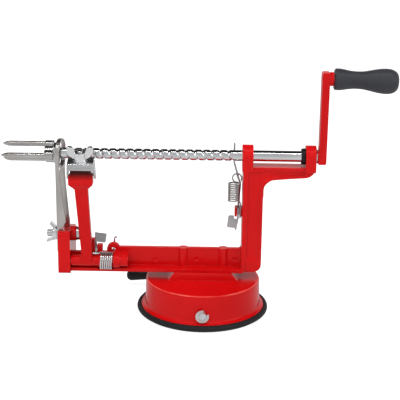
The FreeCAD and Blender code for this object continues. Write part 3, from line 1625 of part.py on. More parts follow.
PIECES = [
    make_frame(),
    make_dome(),
    make_pad(),
    make_base_screws(),
    make_cam_axle(),
    make_axle_clip(),
    make_pull_stud(),
    make_suction_lever(),
    make_lever_grip(),
    make_drive_shaft(),
    make_rear_bush(),
    make_fork_hub(),
    make_fork_prongs(),
    make_lock_nut(),
    make_crank_arm(),
    make_grip_pin(),
    make_grip(),
    make_slicer_blade(),
    make_slicer_bolt(),
    place(make_washer("slicer_washer", d.bolt_radius), x=blade_face, z=d.bolt_height,
          axis=(0, 1, 0), angle=-90),
    make_side_nut(),
    make_pivot_rod(),
    make_peeler_arm(),
    make_blade_bracket(),
    make_peeling_blade(),
    make_bracket_bolt(),
    on_bracket(make_washer("bracket_washer", d.bracket_bolt_radius), d.sheet_thickness),
    on_bracket(make_wing_nut(
        "bracket_wing_nut", d.bracket_bolt_radius + d.running_gap, d.nut_hub_height,
        d.nut_wing_reach, d.nut_wing_height), d.sheet_thickness + d.washer_thickness),
    make_arm_latch(),
    make_side_pin("latch_pin", d.latch_ear_left, d.latch_ear_right, d.latch_pin_radius,
                  d.latch_depth, latch_height),
    make_feed_release(),
    make_side_pin("release_pin", d.release_ear_left, d.post_left + 0.8, d.release_pin_radius,
                  0, d.release_pin_height),
    make_arm_spring(),
    make_release_spring(),
]

doc.recompute()
for item in doc.Objects:
    if "Invalid" in item.State or "Error" in item.State:
        raise RuntimeError(f"{item.Label} failed to build: {item.State}")
for piece in PIECES:
    if piece.Shape.isNull() or not piece.Shape.isValid() or not piece.Shape.Solids:
        raise RuntimeError(f"{piece.Label} has no valid solid")
for piece in PIECES:
    piece.Shape.exportStep(f"parts/{piece.Label}.step")
print(f"{len(PIECES)} pieces written")
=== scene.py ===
import json
import math

import bmesh
import bpy
from mathutils import Matrix, Vector


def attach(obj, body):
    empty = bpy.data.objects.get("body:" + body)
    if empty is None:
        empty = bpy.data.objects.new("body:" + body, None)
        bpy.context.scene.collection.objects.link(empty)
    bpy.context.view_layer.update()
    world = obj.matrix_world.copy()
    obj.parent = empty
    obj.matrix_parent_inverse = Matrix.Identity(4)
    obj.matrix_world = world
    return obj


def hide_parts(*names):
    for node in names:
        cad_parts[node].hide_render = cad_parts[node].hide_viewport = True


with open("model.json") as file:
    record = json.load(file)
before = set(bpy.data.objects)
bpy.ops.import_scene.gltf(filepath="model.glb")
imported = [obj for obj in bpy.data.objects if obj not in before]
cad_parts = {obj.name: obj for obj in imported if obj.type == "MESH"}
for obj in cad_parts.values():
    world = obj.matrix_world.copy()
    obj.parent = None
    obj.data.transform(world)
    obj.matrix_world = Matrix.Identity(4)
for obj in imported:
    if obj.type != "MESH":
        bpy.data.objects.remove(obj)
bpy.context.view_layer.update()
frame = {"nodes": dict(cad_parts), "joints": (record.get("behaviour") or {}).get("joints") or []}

NODES = frame["nodes"]
JOINTS = {joint["name"]: joint for joint in frame["joints"]}
MM = 0.001
UP, BACK, RIGHT = Vector((0, 0, 1)), Vector((0, 1, 0)), Vector((1, 0, 0))

# Places in millimetres, as in the CAD
SHAFT_HEIGHT = 117.0
PIVOT_HEIGHT, PIVOT_DEPTH = 39.8, -10.0
BLADE_BOLT_HEIGHT = 57.0
AXLE_HEIGHT = 11.4


# Materials

class Nodes:
    """Adds and links the nodes of one material or world."""

    def __init__(self, owner):
        owner.use_nodes = True
        self.tree = owner.node_tree
        self.tree.nodes.clear()

    def add(self, kind, inputs=None, **settings):
        """A node with its settings, its inputs fed with values or with other outputs."""
        node = self.tree.nodes.new(kind)
        for key, value in settings.items():
            setattr(node, key, value)
        for key, value in (inputs or {}).items():
            self.feed(node.inputs[key], value)
        return node

    def feed(self, socket, value):
        """Links another node's output to a socket, or sets its value."""
        if isinstance(value, bpy.types.NodeSocket):
            self.tree.links.new(value, socket)
        else:
            socket.default_value = value

    def spread(self, value, low, high, to_low=0.0, to_high=1.0):
        """Maps low to to_low and high to to_high, straight between and held at the ends."""
        return self.add("ShaderNodeMapRange", {
            0: value, 1: low, 2: high, 3: to_low, 4: to_high}).outputs[0]

    def maths(self, operation, first, second):
        return self.add("ShaderNodeMath", {0: first, 1: second}, operation=operation).outputs[0]

    def mirror_rays(self):
        """1 for what glossy and clear surfaces show, 0 for everything else."""
        path = self.add("ShaderNodeLightPath")
        return self.maths("MAXIMUM", path.outputs["Is Glossy Ray"],
                          path.outputs["Is Transmission Ray"])

    def camera_rays(self):
        return self.add("ShaderNodeLightPath").outputs["Is Camera Ray"]


class Finish(Nodes):
    """A node material for one finish, in the object's own coordinates."""

    def __init__(self, name, **constants):
        self.material = bpy.data.materials.new(name)
        super().__init__(self.material)
        self.shader = self.add("ShaderNodeBsdfPrincipled")
        self.add("ShaderNodeOutputMaterial", {"Surface": self.shader.outputs["BSDF"]})
        self.place = self.add("ShaderNodeTexCoord").outputs["Object"]
        self.height = None
        for key, value in constants.items():
            self.shader.inputs[key.replace("_", " ")].default_value = value

    def noise(self, scale, detail, seed, stretch=None):
        """Noise of about 1/scale metres, drawn out along the axes where stretch is small."""
        mapping = self.add("ShaderNodeMapping", {
            "Vector": self.place,
            "Location": (seed, seed * 0.7, -seed * 0.4),
            "Scale": stretch or (1, 1, 1)})
        return self.add("ShaderNodeTexNoise", {
            "Vector": mapping.outputs[0], "Scale": scale, "Detail": detail}).outputs[0]

    def blend(self, share, first, second):
        """Colour between first and second by share."""
        node = self.add("ShaderNodeMix", data_type="RGBA")
        self.feed(node.inputs[0], share)
        for socket, value in ((node.inputs[6], first), (node.inputs[7], second)):
            self.feed(socket, value if isinstance(value, bpy.types.NodeSocket) else (*value, 1))
        return node.outputs[2]

    def edges(self, radius):
        """1 on corners and edges, 0 on flat or gently curved faces."""
        rounded = self.add("ShaderNodeBevel", {"Radius": radius}, samples=4).outputs[0]
        plain = self.add("ShaderNodeNewGeometry").outputs["Normal"]
        dot = self.add("ShaderNodeVectorMath", {0: rounded, 1: plain}, operation="DOT_PRODUCT")
        return self.spread(dot.outputs["Value"], 0.99, 0.82)

    def raise_by(self, value, height):
        """Adds a height in metres, for the bump."""
        part = self.maths("MULTIPLY", value, height)
        self.height = part if self.height is None else self.maths("ADD", self.height, part)

    def finish(self, colour, roughness, soften):
        """Joins it all to the shader, with edges shaded round over soften metres."""
        self.feed(self.shader.inputs["Base Color"], colour)
        self.feed(self.shader.inputs["Roughness"], roughness)
        bump = self.add("ShaderNodeBump", {
            "Height": self.height, "Distance": 1.0, "Strength": 1.0})
        if soften:
            rounded = self.add("ShaderNodeBevel", {"Radius": soften}, samples=6).outputs[0]
            self.feed(bump.inputs["Normal"], rounded)
        self.feed(self.shader.inputs["Normal"], bump.outputs[0])
        return self.material


def enamel(name, seed, soften=0.0006, shade=None, highlight_band=None):
    """Baked red enamel: orange peel, a few nibs, thinner and a little lighter on the edges.

    shade is (low, high, colour): a painted shadow, the colour that takes over between two
    heights in metres.
    The band (low, high) is a painted highlight: a lighter line between these heights, patchy in
    places.
    """
    deep, bright = (0.52, 0.002, 0.003), (0.60, 0.004, 0.005)
    nib, thin, highlight_tone = (0.30, 0.001, 0.002), (0.72, 0.030, 0.028), (0.88, 0.20, 0.16)
    f = Finish(name, Specular_IOR_Level=0.17, IOR=1.5)
    edge = f.maths("MULTIPLY", f.edges(0.0007), f.spread(f.noise(260, 4, seed), 0.35, 0.7))
    nibs = f.spread(f.noise(1500, 1, seed + 3), 0.74, 0.8)
    colour = f.blend(f.spread(f.noise(22, 2, seed), 0.3, 0.7), deep, bright)
    colour = f.blend(f.maths("MULTIPLY", nibs, 0.35), colour, nib)
    colour = f.blend(f.maths("MULTIPLY", edge, 0.55), colour, thin)
    height = f.add("ShaderNodeSeparateXYZ", {0: f.place}).outputs[2]
    # Painted highlight: a patchy lighter band round the dome's shoulder, where a glint from the
    # lamps would be
    if highlight_band:
        (low, high), ease = highlight_band, 0.00015
        band = f.maths("MULTIPLY", f.spread(height, low, low + ease),
                       f.spread(height, high, high - ease))
        patchy = f.spread(f.noise(38, 3, seed + 5), 0.40, 0.60, 0.04, 0.55)
        colour = f.blend(f.maths("MULTIPLY", band, patchy), colour, highlight_tone)
    # Painted shadow: the colour darkens between two heights, as under the bracket that overhangs
    # the arm's head
    if shade:
        low, high, darkest = shade
        uneven = f.spread(f.noise(500, 2, seed), 0.3, 0.7, 0, 0.0006)
        height = f.maths("ADD", height, uneven)
        colour = f.blend(f.spread(height, low, high), colour, darkest)
    rough = f.spread(f.noise(60, 4, seed + 1), 0.3, 0.7, 0.10, 0.19)
    rough = f.maths("ADD", rough, f.maths("MULTIPLY", edge, 0.10))
    f.raise_by(f.noise(900, 2, seed), 0.000010)
    f.raise_by(f.noise(190, 2, seed + 2), 0.000035)
    f.raise_by(nibs, 0.000012)
    return f.finish(colour, rough, soften)


def metal(name, tones, rough, seed, streak=None, soften=0.0003, grain=700, bump=0.000004):
    """Bare or plated metal in two tones, its grinding lines drawn out where streak is small."""
    dark, light = tones
    low, high = rough
    wear = 0.25
    f = Finish(name, Metallic=1.0)
    lines = f.noise(grain, 3, seed + 1, streak)
    edge = f.edges(soften + 0.0001)
    colour = f.blend(f.spread(f.noise(45, 4, seed), 0.3, 0.72), dark, light)
    colour = f.blend(f.spread(lines, 0.25, 0.6, 0.30, 0.0), colour, [v * 0.72 for v in dark])
    bright = [min(1.0, v * 1.12) for v in light]
    colour = f.blend(f.maths("MULTIPLY", edge, wear * 2), colour, bright)
    value = f.spread(f.noise(grain * 0.35, 4, seed + 2, streak), 0.3, 0.7, low, high)
    value = f.maths("SUBTRACT", value, f.maths("MULTIPLY", edge, wear * 0.2))
    f.raise_by(lines, bump)
    return f.finish(colour, value, soften)


def rubber(name, colour, rough, seed, grain=1400, bump=0.000012):
    """Black rubber or plastic: fine grain, dusty high spots, edges shiny from use."""
    low, high = rough
    f = Finish(name, Specular_IOR_Level=0.25)
    edge = f.maths("MULTIPLY", f.edges(0.0008), f.spread(f.noise(200, 3, seed), 0.3, 0.7))
    dusty, paler = [v * 1.25 for v in colour], [v * 1.7 + 0.006 for v in colour]
    tone = f.blend(f.spread(f.noise(70, 4, seed), 0.3, 0.75), colour, dusty)
    tone = f.blend(f.maths("MULTIPLY", edge, 0.6), tone, paler)
    value = f.spread(f.noise(120, 4, seed + 1), 0.3, 0.7, low, high)
    value = f.maths("SUBTRACT", value, f.maths("MULTIPLY", edge, 0.08))
    f.raise_by(f.noise(grain, 3, seed + 2), bump)
    return f.finish(tone, value, soften=0.0004)


# Streaks of the grinding lines
ALONG_X = (0.04, 1, 1)
ALONG_Z = (1, 1, 0.04)

# Darker and lighter tone of each metal
CHROME = ((0.66, 0.67, 0.69), (0.82, 0.83, 0.85))
STEEL = ((0.50, 0.50, 0.51), (0.66, 0.66, 0.67))
ZINC = ((0.58, 0.59, 0.61), (0.78, 0.79, 0.80))
CAST_ZINC = ((0.70, 0.70, 0.71), (0.90, 0.91, 0.92))
WHITE_ZINC = ((0.84, 0.85, 0.86), (0.97, 0.98, 0.99))
AXLE_ZINC = ((0.66, 0.67, 0.70), (0.80, 0.81, 0.84))
PRONG_STEEL = ((0.46, 0.44, 0.43), (0.64, 0.62, 0.60))
HUB_STEEL = ((0.50, 0.49, 0.48), (0.68, 0.67, 0.66))
BLADE_STEEL = ((0.48, 0.46, 0.45), (0.64, 0.62, 0.60))
CLIP_STEEL = ((0.62, 0.60, 0.58), (0.78, 0.76, 0.74))
BRACKET_SHEET = ((0.60, 0.60, 0.61), (0.76, 0.76, 0.77))
LATCH_SHEET = ((0.36, 0.36, 0.37), (0.48, 0.48, 0.49))
RELEASE_SHEET = ((0.44, 0.43, 0.44), (0.58, 0.57, 0.58))
BRIGHT_WIRE = ((0.66, 0.66, 0.67), (0.84, 0.84, 0.85))
DARK_WIRE = ((0.40, 0.38, 0.38), (0.56, 0.54, 0.53))

# The heights in metres of the painted shadow that darkens the arm's head, with its colour, and
# those of the painted highlight line on the dome's shoulder
PAINTED_HEAD_SHADOW = (0.1025, 0.1075, (0.045, 0.001, 0.001))
PAINTED_SHOULDER_HIGHLIGHT = (0.0247, 0.0254)

LOOKS = {
    "frame_casting": enamel("red_enamel_frame", seed=0.0),
    "suction_dome": enamel("red_enamel_base", seed=2.0, soften=0.0009, highlight_band=PAINTED_SHOULDER_HIGHLIGHT),
    "crank_arm": enamel("red_enamel_crank", seed=4.0, soften=0.0005),
    "peeler_arm": enamel("red_enamel_arm", seed=6.0, soften=0.0005, shade=PAINTED_HEAD_SHADOW),
    "suction_pad": rubber("pad_rubber", (0.010, 0.010, 0.011), (0.55, 0.75), seed=1.0),
    "pull_stud": rubber("stud_plastic", (0.02, 0.02, 0.021), (0.4, 0.55), seed=2.0),
    "lever_grip": rubber("lever_sleeve", (0.005, 0.005, 0.0055), (0.32, 0.48), seed=3.0,
                         grain=500, bump=0.00002),
    "rear_bush": rubber("bush_nylon", (0.007, 0.007, 0.0075), (0.38, 0.52), seed=4.0),
    "grip": rubber("grip_plastic", (0.030, 0.031, 0.037), (0.36, 0.50), seed=5.0,
                   grain=1800, bump=0.00001),
    "drive_shaft": metal("screw_chrome", CHROME, (0.06, 0.14), seed=1.0, streak=ALONG_X,
                         soften=0.0001, grain=900, bump=0.0000015),
    "fork_prongs": metal("prong_steel", PRONG_STEEL, (0.22, 0.36), seed=2.0, streak=ALONG_X,
                         soften=0.0002, grain=1300, bump=0.000008),
    "fork_hub": metal("hub_steel", HUB_STEEL, (0.20, 0.34), seed=3.0,
                      soften=0.0004, grain=800, bump=0.00001),
    "fork_lock_nut": metal("lock_nut_steel", ZINC, (0.16, 0.28), seed=4.0),
    "slicer_wing_nut": metal("wing_nut_zinc", CAST_ZINC, (0.18, 0.32), seed=5.0,
                             soften=0.0006, grain=420, bump=0.00003),
    "bracket_wing_nut": metal("wing_nut_bright", WHITE_ZINC, (0.14, 0.28), seed=6.0,
                              soften=0.0006, grain=420, bump=0.00003),
    "slicer_blade": metal("blade_steel", BLADE_STEEL, (0.24, 0.38), seed=7.0, streak=ALONG_Z,
                          soften=0.0002, grain=1500, bump=0.000006),
    "slicer_bolt": metal("bolt_steel", ZINC, (0.18, 0.30), seed=8.0),
    "slicer_washer": metal("washer_zinc", ZINC, (0.20, 0.32), seed=9.0, soften=0.0001),
    "blade_bracket": metal("bracket_sheet", BRACKET_SHEET, (0.20, 0.34), seed=10.0,
                           streak=ALONG_X, soften=0.0004, grain=900, bump=0.000006),
    "peeling_blade": metal("peeling_edge", STEEL, (0.14, 0.24), seed=11.0, streak=ALONG_X,
                           soften=0.0001, grain=1500),
    "bracket_bolt": metal("stud_steel", ZINC, (0.18, 0.30), seed=12.0, soften=0.0002),
    "bracket_washer": metal("washer_bright", ZINC, (0.16, 0.28), seed=13.0, soften=0.0001),
    "arm_latch": metal("latch_sheet", LATCH_SHEET, (0.28, 0.42), seed=14.0, streak=ALONG_Z,
                       soften=0.0002, grain=900, bump=0.000006),
    "feed_release": metal("release_sheet", RELEASE_SHEET, (0.24, 0.38), seed=15.0,
                          streak=ALONG_Z, soften=0.0002, grain=900, bump=0.000006),
    "latch_pin": metal("latch_pin_steel", STEEL, (0.2, 0.3), seed=16.0, streak=ALONG_X,
                       soften=0.0001),
    "release_pin": metal("release_pin_steel", STEEL, (0.2, 0.3), seed=17.0, streak=ALONG_X,
                         soften=0.0001),
    "grip_pin": metal("grip_pin_steel", STEEL, (0.2, 0.3), seed=18.0, streak=ALONG_X,
                      soften=0.0002),
    "arm_pivot_rod": metal("pivot_rod_steel", STEEL, (0.16, 0.28), seed=19.0, streak=ALONG_X,
                           soften=0.0002),
    "cam_axle": metal("axle_zinc", AXLE_ZINC, (0.24, 0.38), seed=20.0),
    "axle_clip": metal("clip_steel", CLIP_STEEL, (0.20, 0.32), seed=21.0, soften=0.0002),
    "suction_lever": metal("lever_sheet", STEEL, (0.24, 0.38), seed=22.0, streak=ALONG_X,
                           soften=0.0004),
    "base_screws": metal("screw_zinc", ZINC, (0.2, 0.34), seed=23.0, soften=0.0002),
    "peeler_arm_spring": metal("arm_spring_wire", BRIGHT_WIRE, (0.14, 0.26), seed=24.0,
                               soften=0.0, grain=1400),
    "release_spring": metal("release_spring_wire", DARK_WIRE, (0.16, 0.28), seed=25.0,
                            soften=0.0, grain=1400),
}


# Edges of the castings and sheet pieces, as modifiers over the untouched CAD meshes

def soft_shading(angle):
    """A geometry group that shades smooth up to an angle in degrees between faces."""
    group = bpy.data.node_groups.new("soft_shading", "GeometryNodeTree")
    for way in ("INPUT", "OUTPUT"):
        group.interface.new_socket("Geometry", in_out=way, socket_type="NodeSocketGeometry")
    add = group.nodes.new
    first, last = add("NodeGroupInput"), add("NodeGroupOutput")
    drop = add("GeometryNodeRemoveAttribute")
    drop.inputs["Name"].default_value = "custom_normal"
    bend = add("GeometryNodeInputMeshEdgeAngle")
    test = add("FunctionNodeCompare")
    test.data_type, test.operation = "FLOAT", "LESS_THAN"
    test.inputs["B"].default_value = math.radians(angle)
    faces, seams = add("GeometryNodeSetShadeSmooth"), add("GeometryNodeSetShadeSmooth")
    faces.domain, seams.domain = "FACE", "EDGE"
    link = group.links.new
    link(first.outputs[0], drop.inputs[0])
    link(drop.outputs[0], faces.inputs[0])
    link(faces.outputs[0], seams.inputs[0])
    link(bend.outputs["Unsigned Angle"], test.inputs["A"])
    link(test.outputs[0], seams.inputs["Shade Smooth"])
    link(seams.outputs[0], last.inputs[0])
    return group


SOFT_SHADING = soft_shading(angle=32)

# Radii in millimetres. Thin nodes and those with close-set facets keep their CAD edges.
ROUNDED = {
    "peeler_arm": 0.4, "fork_hub": 0.3, "blade_bracket": 0.2, "arm_latch": 0.15,
    "feed_release": 0.15, "suction_lever": 0.25, "cam_axle": 0.25, "axle_clip": 0.15,
    "lever_grip": 0.4, "rear_bush": 0.2, "pull_stud": 0.3, "fork_lock_nut": 0.2,
    "slicer_bolt": 0.2, "bracket_bolt": 0.2, "base_screws": 0.2, "arm_pivot_rod": 0.2,
}

# Distances in millimetres under which a mesh's points are merged
WELD, WIDER_WELDS = 0.002, {"blade_bracket": 0.2}


def dress(name, item):
    """Merges the CAD facets, rounds the sharp edges and shades the rest smooth."""
    weld = item.modifiers.new("weld", "WELD")
    weld.merge_threshold = WIDER_WELDS.get(name, WELD) * MM
    if name in ROUNDED:
        flats = item.modifiers.new("merge_flats", "DECIMATE")
        flats.decimate_type = "DISSOLVE"
        flats.angle_limit = math.radians(0.4)
        edges = item.modifiers.new("round_edges", "BEVEL")
        edges.limit_method = "ANGLE"
        edges.angle_limit = math.radians(24)
        edges.width = ROUNDED[name] * MM
        edges.segments = 3
        edges.use_clamp_overlap = False
        edges.miter_outer = "MITER_ARC"
    item.modifiers.new("shade", "NODES").node_group = SOFT_SHADING


for name, item in NODES.items():
    item.data.materials.clear()
    item.data.materials.append(LOOKS[name])
    dress(name, item)


# Ways of making meshes: outlines are in millimetres, vectors in metres

def mm(*values):
    """A vector from millimetres."""
    return Vector(values) * MM


def arc(centre, radius, start, end, steps):
    """Points (across, up) on an arc, angles in degrees from across."""
    return [(centre[0] + radius * math.cos(math.radians(start + (end - start) * k / steps)),
             centre[1] + radius * math.sin(math.radians(start + (end - start) * k / steps)))
            for k in range(steps + 1)]


def circle(across, up, radius, sides=48):
    """Points (across, up) all round a circle."""
    return [(across + radius * math.cos(2 * math.pi * k / sides),
             up + radius * math.sin(2 * math.pi * k / sides)) for k in range(sides)]


def as_mesh(name, work):
    """A mesh from finished bmesh work."""
    mesh = bpy.data.meshes.new(name)
    work.to_mesh(mesh)
    work.free()
    return mesh


def shade_faces(work, sharp):
    """Shades all faces smooth, but for the edges that bend by more than sharp degrees."""
    for face in work.faces:
        face.smooth = True
    for edge in work.edges:
        edge.smooth = not (edge.is_manifold and edge.calc_face_angle() > math.radians(sharp))


def skin(name, rings, sharp=40):
    """A mesh through rings of points, capped at both ends."""
    work = bmesh.new()
    loops = [[work.verts.new(point) for point in ring] for ring in rings]
    count = len(loops[0])
    for low, high in zip(loops, loops[1:]):
        for n in range(count):
            m = (n + 1) % count
            work.faces.new((low[n], low[m], high[m], high[n]))
    work.faces.new(loops[0][::-1])
    work.faces.new(loops[-1])
    bmesh.ops.recalc_face_normals(work, faces=work.faces)
    shade_faces(work, sharp)
    return as_mesh(name, work)


def lathe(name, outline):
    """A solid turned round Z from (radius, height) points."""
    sides = 128
    work = bmesh.new()
    rows = []
    for radius, height in outline:
        if radius < 0.001:
            rows.append([work.verts.new(mm(0, 0, height))])
        else:
            rows.append([work.verts.new(mm(radius * math.cos(2 * math.pi * k / sides),
                                           radius * math.sin(2 * math.pi * k / sides), height))
                         for k in range(sides)])
    for first, second in zip(rows, rows[1:] + rows[:1]):
        for k in range(sides):
            m = (k + 1) % sides
            corners = [first[k % len(first)], first[m % len(first)],
                       second[m % len(second)], second[k % len(second)]]
            corners = list(dict.fromkeys(corners))
            if len(corners) > 2:
                work.faces.new(corners)
    bmesh.ops.recalc_face_normals(work, faces=work.faces)
    return as_mesh(name, work)


def prism(name, outline, low, high, along="Z", ease=0.0):
    """A solid with a given outline between two planes across an axis, its edges eased."""
    place = {"X": lambda a, b, c: mm(c, a, b), "Y": lambda a, b, c: mm(a, c, b), "Z": mm}[along]
    work = bmesh.new()
    rows = [[work.verts.new(place(a, b, c)) for a, b in outline] for c in (low, high)]
    count = len(outline)
    for k in range(count):
        m = (k + 1) % count
        work.faces.new((rows[0][k], rows[0][m], rows[1][m], rows[1][k]))
    work.faces.new(rows[0])
    work.faces.new(rows[1])
    bmesh.ops.recalc_face_normals(work, faces=work.faces)
    if ease:
        bmesh.ops.bevel(work, geom=work.edges[:], offset=ease * MM, segments=4, profile=0.5,
                        affect="EDGES", clamp_overlap=True)
    return as_mesh(name, work)


def carved(name, base, added, removed, sharp):
    """One mesh from a base solid with others joined to it and cut out of it."""
    made = []
    for mesh in [base] + added + removed:
        item = bpy.data.objects.new("tool", mesh)
        bpy.context.scene.collection.objects.link(item)
        made.append(item)
    for number, item in enumerate(made[1:]):
        step = made[0].modifiers.new("step", "BOOLEAN")
        step.operation = "UNION" if number < len(added) else "DIFFERENCE"
        step.solver = "EXACT"
        step.object = item
    result = bpy.data.meshes.new_from_object(
        made[0].evaluated_get(bpy.context.evaluated_depsgraph_get()))
    for item in made:
        bpy.data.objects.remove(item)
    work = bmesh.new()
    work.from_mesh(result)
    bmesh.ops.remove_doubles(work, verts=work.verts, dist=0.000002)
    shade_faces(work, sharp)
    return as_mesh(name, work)


def curve_points(knots):
    """Points on a smooth curve through knots of (point, direction), closer where it bends."""
    fineness = 0.00035
    points = [knots[0][0].copy()]
    for (start, start_way), (end, end_way) in zip(knots, knots[1:]):
        chord = (end - start).length
        bend = start_way.angle(end_way, 0.0)
        pull = chord * (2 * math.tan(bend / 4) / math.sin(bend / 2) if bend > 0.01 else 1.0)
        steps = math.ceil(max(chord / fineness * min(1.0, bend), 1))
        for number in range(1, steps + 1):
            t = number / steps
            points.append(
                start * (2 * t ** 3 - 3 * t ** 2 + 1) + end * (3 * t ** 2 - 2 * t ** 3)
                + start_way * pull * (t ** 3 - 2 * t ** 2 + t)
                + end_way * pull * (t ** 3 - t ** 2))
    return points


def tube_rings(points, radius):
    """Rings of a round wire along points, with eased ends."""
    sides, narrow, ease = 14, radius * 0.72, radius * 0.3
    ways = [(b - a).normalized() for a, b in zip(points, points[1:])]
    ways = [ways[0]] + [(a + b).normalized() for a, b in zip(ways, ways[1:])] + [ways[-1]]
    across = ways[0].orthogonal().normalized()
    rings = []
    for number, (point, way) in enumerate(zip(points, ways)):
        across = (across - way * across.dot(way)).normalized()
        other = way.cross(across)
        stops = [(radius, 0.0)]
        if number == 0:
            stops = [(narrow, 0.0), (radius, ease)]
        elif number == len(points) - 1:
            stops = [(radius, -ease), (narrow, 0.0)]
        for size, slide in stops:
            rings.append([point + way * slide + (across * math.cos(2 * math.pi * k / sides)
                          + other * math.sin(2 * math.pi * k / sides)) * size
                          for k in range(sides)])
    return rings


def coil(centre, axis, first, radius, pitch, turns, hand=1):
    """Points and directions along a coil that starts at first."""
    across = axis.cross(first) * hand
    steps = math.ceil(turns * 12)
    knots = []
    for number in range(steps + 1):
        angle = 2 * math.pi * turns * number / steps
        out = first * math.cos(angle) + across * math.sin(angle)
        way = across * math.cos(angle) - first * math.sin(angle)
        knots.append((centre + out * radius + axis * (pitch * angle / (2 * math.pi)),
                      (way * radius + axis * (pitch / (2 * math.pi))).normalized()))
    return knots


def lerp_table(table, value):
    """Value between the rows (key, a, b...) of a table, straight between them."""
    for low, high in zip(table, table[1:]):
        if value <= high[0]:
            share = max(0.0, (value - low[0]) / (high[0] - low[0]))
            return [a + (b - a) * share for a, b in zip(low[1:], high[1:])]
    return table[-1][1:]


# Pieces that take over from plain CAD solids, and two kinds that the CAD leaves out

def new_piece(name, mesh, body, slot, look, *stands_for):
    """Puts a mesh in the scene, on its body and with its material."""
    item = bpy.data.objects.new(name, mesh)
    bpy.context.scene.collection.objects.link(item)
    mesh.materials.append(look)
    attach(item, body)
    if stands_for:
        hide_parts(*stands_for)


def release_spring():
    """The extension spring: hook, coil and end loop in one round wire."""
    x, depth, start, top, bend = 26.1, -4.4, 71.7, 81.4, 1.21
    hook = [(mm(x, -1.0, start), -BACK), (mm(x, depth + bend, start), -BACK),
            (mm(x, depth, start + bend), UP), (mm(x, depth, top), UP)]
    corner = Vector((math.sqrt(0.5), math.sqrt(0.5), 0))
    turns = coil(mm(21.3, depth, 84.4), UP, corner, radius=4.0 * MM, pitch=1.56 * MM,
                 turns=8.625)
    loop = coil(mm(23.3, depth, 101.655), BACK, RIGHT, radius=3.2 * MM, pitch=0.0, turns=0.8,
                hand=-1)
    rings = tube_rings(curve_points(hook + turns + loop), radius=0.55 * MM)
    new_piece("release_spring_wire", skin("release_spring_wire", rings), "frame",
              "release_spring_wire", LOOKS["release_spring"], "release_spring")


def arm_spring():
    """The torsion spring: leg, six turns round the sleeve, tail up the ear to a bent tip."""
    turns = coil(mm(-74.575, PIVOT_DEPTH, PIVOT_HEIGHT), RIGHT, UP, radius=5.9 * MM,
                 pitch=1.5 * MM, turns=6, hand=-1)
    start, way = turns[0]
    bend = 1.4 * MM
    corner = start - way * bend
    leg = [(Vector((-79.6 * MM, corner.y, corner.z)), RIGHT), (corner - RIGHT * bend, RIGHT)]
    end, way = turns[-1]
    bend = 2.0 * MM
    turn_start = end + way * ((4.5 * MM - bend - end.y) / way.y)
    turn_end = turn_start + (way + UP) * bend
    tip = Vector((turn_end.x, turn_end.y, 51.9 * MM))
    tail = [(turn_start, way), (turn_end, UP), (tip, UP),
            (tip + (UP + RIGHT) * 1.0 * MM, RIGHT), (tip + mm(1.9, 0, 1.0), RIGHT)]
    rings = tube_rings(curve_points(leg + turns + tail), radius=0.64 * MM)
    new_piece("arm_spring_wire", skin("arm_spring_wire", rings), "frame",
              "arm_spring_wire", LOOKS["peeler_arm_spring"], "peeler_arm_spring")


def feed_screw():
    """The chromed rod with its coarse right-hand thread."""
    sides, full = 48, 4.0
    thread_start, thread_end, run_out = -98.6, 23.0, 4
    pitch, depth, crest, flank = 6.07, 0.8, 0.56, 1.15
    stations = [(-112.0, 2.5), (-111.5, 3.0), (-107.1, 3.0), (-107.1, 3.6), (-106.7, full)]
    x = -106.0
    while x < 84.8:
        stations.append((x, full))
        x += 0.3 if thread_start - 1 < x < thread_end + 1 else 3.0
    stations += [(84.9, full), (85.3, 3.8), (85.5, 3.4)]
    rings = []
    for x, radius in stations:
        fade = min(1.0, max(0.0, (x - thread_start) / run_out),
                   max(0.0, (thread_end - x) / run_out))
        ring = []
        for n in range(sides):
            angle = 2 * math.pi * n / sides
            phase = (x / pitch + angle / (2 * math.pi)) % 1.0
            cut = 0.0
            if phase > crest:
                off_middle = abs(2 * (phase - crest) / (1 - crest) - 1)
                cut = min(1.0, flank - flank * off_middle)
            size = radius - depth * fade * cut
            ring.append(mm(x, size * math.sin(angle), SHAFT_HEIGHT + size * math.cos(angle)))
        rings.append(ring)
    new_piece("feed_screw_thread", skin("feed_screw_thread", rings, sharp=75), "screw",
              "screw_chrome", LOOKS["drive_shaft"], "drive_shaft")


def crank_grip():
    """The moulded grip: notched collar, softly faceted waist and bulb."""
    joint = JOINTS["grip_spin"]
    origin, way = Vector(joint["pos_m"]), Vector(joint["axis"]).normalized()
    front = Vector((0, -1, 0))
    side = way.cross(front)
    collar = [(0.8, 2.6), (0.0, 5.2), (0.0, 6.6), (0.15, 7.0), (0.5, 7.35), (1.0, 7.55),
              (2.0, 7.6), (3.2, 7.6), (4.4, 7.55)]
    waist = [(6, 7.3), (8, 6.95), (10, 6.62), (12, 6.38), (14, 6.24), (16, 6.2), (18, 6.24),
             (20, 6.4), (22, 6.72), (24, 7.12), (26, 7.56), (28, 7.98), (30, 8.38)]
    bulb = [(32, 8.7), (34, 8.9), (36, 8.98), (38, 8.9), (39.6, 8.64), (41, 8.2), (42.2, 7.6),
            (43.2, 6.75), (43.9, 5.9), (44.35, 5.0), (44.6, 4.2), (44.6, 3.9), (44.3, 3.5),
            (43.4, 3.3), (42.0, 3.25)]
    sides, facets, facet_depth = 80, 6, 0.022
    notches, notch_depth, notch_length = 12, 0.7, 1.6
    rings = []
    for along, radius in collar + waist + bulb:
        share = min(1.0, max(0.0, (along - 5) / 9)) * (1.0 if along < 43 else 0.3)
        ring = []
        for n in range(sides):
            angle = 2 * math.pi * n / sides
            flat = 0.5 - 0.5 * math.cos(facets * angle)
            size = radius * (1 - facet_depth * share * flat)
            if along < notch_length and radius > 5.5:
                cut = notch_depth * max(0.0, math.cos(notches * angle)) ** 2
                size -= cut * (1 - along / notch_length)
            ring.append(origin + way * along * MM
                        + (front * math.cos(angle) + side * math.sin(angle)) * size * MM)
        rings.append(ring)
    new_piece("crank_grip", skin("crank_grip", rings, sharp=50), "grip", "grip_plastic",
              LOOKS["grip"], "grip")


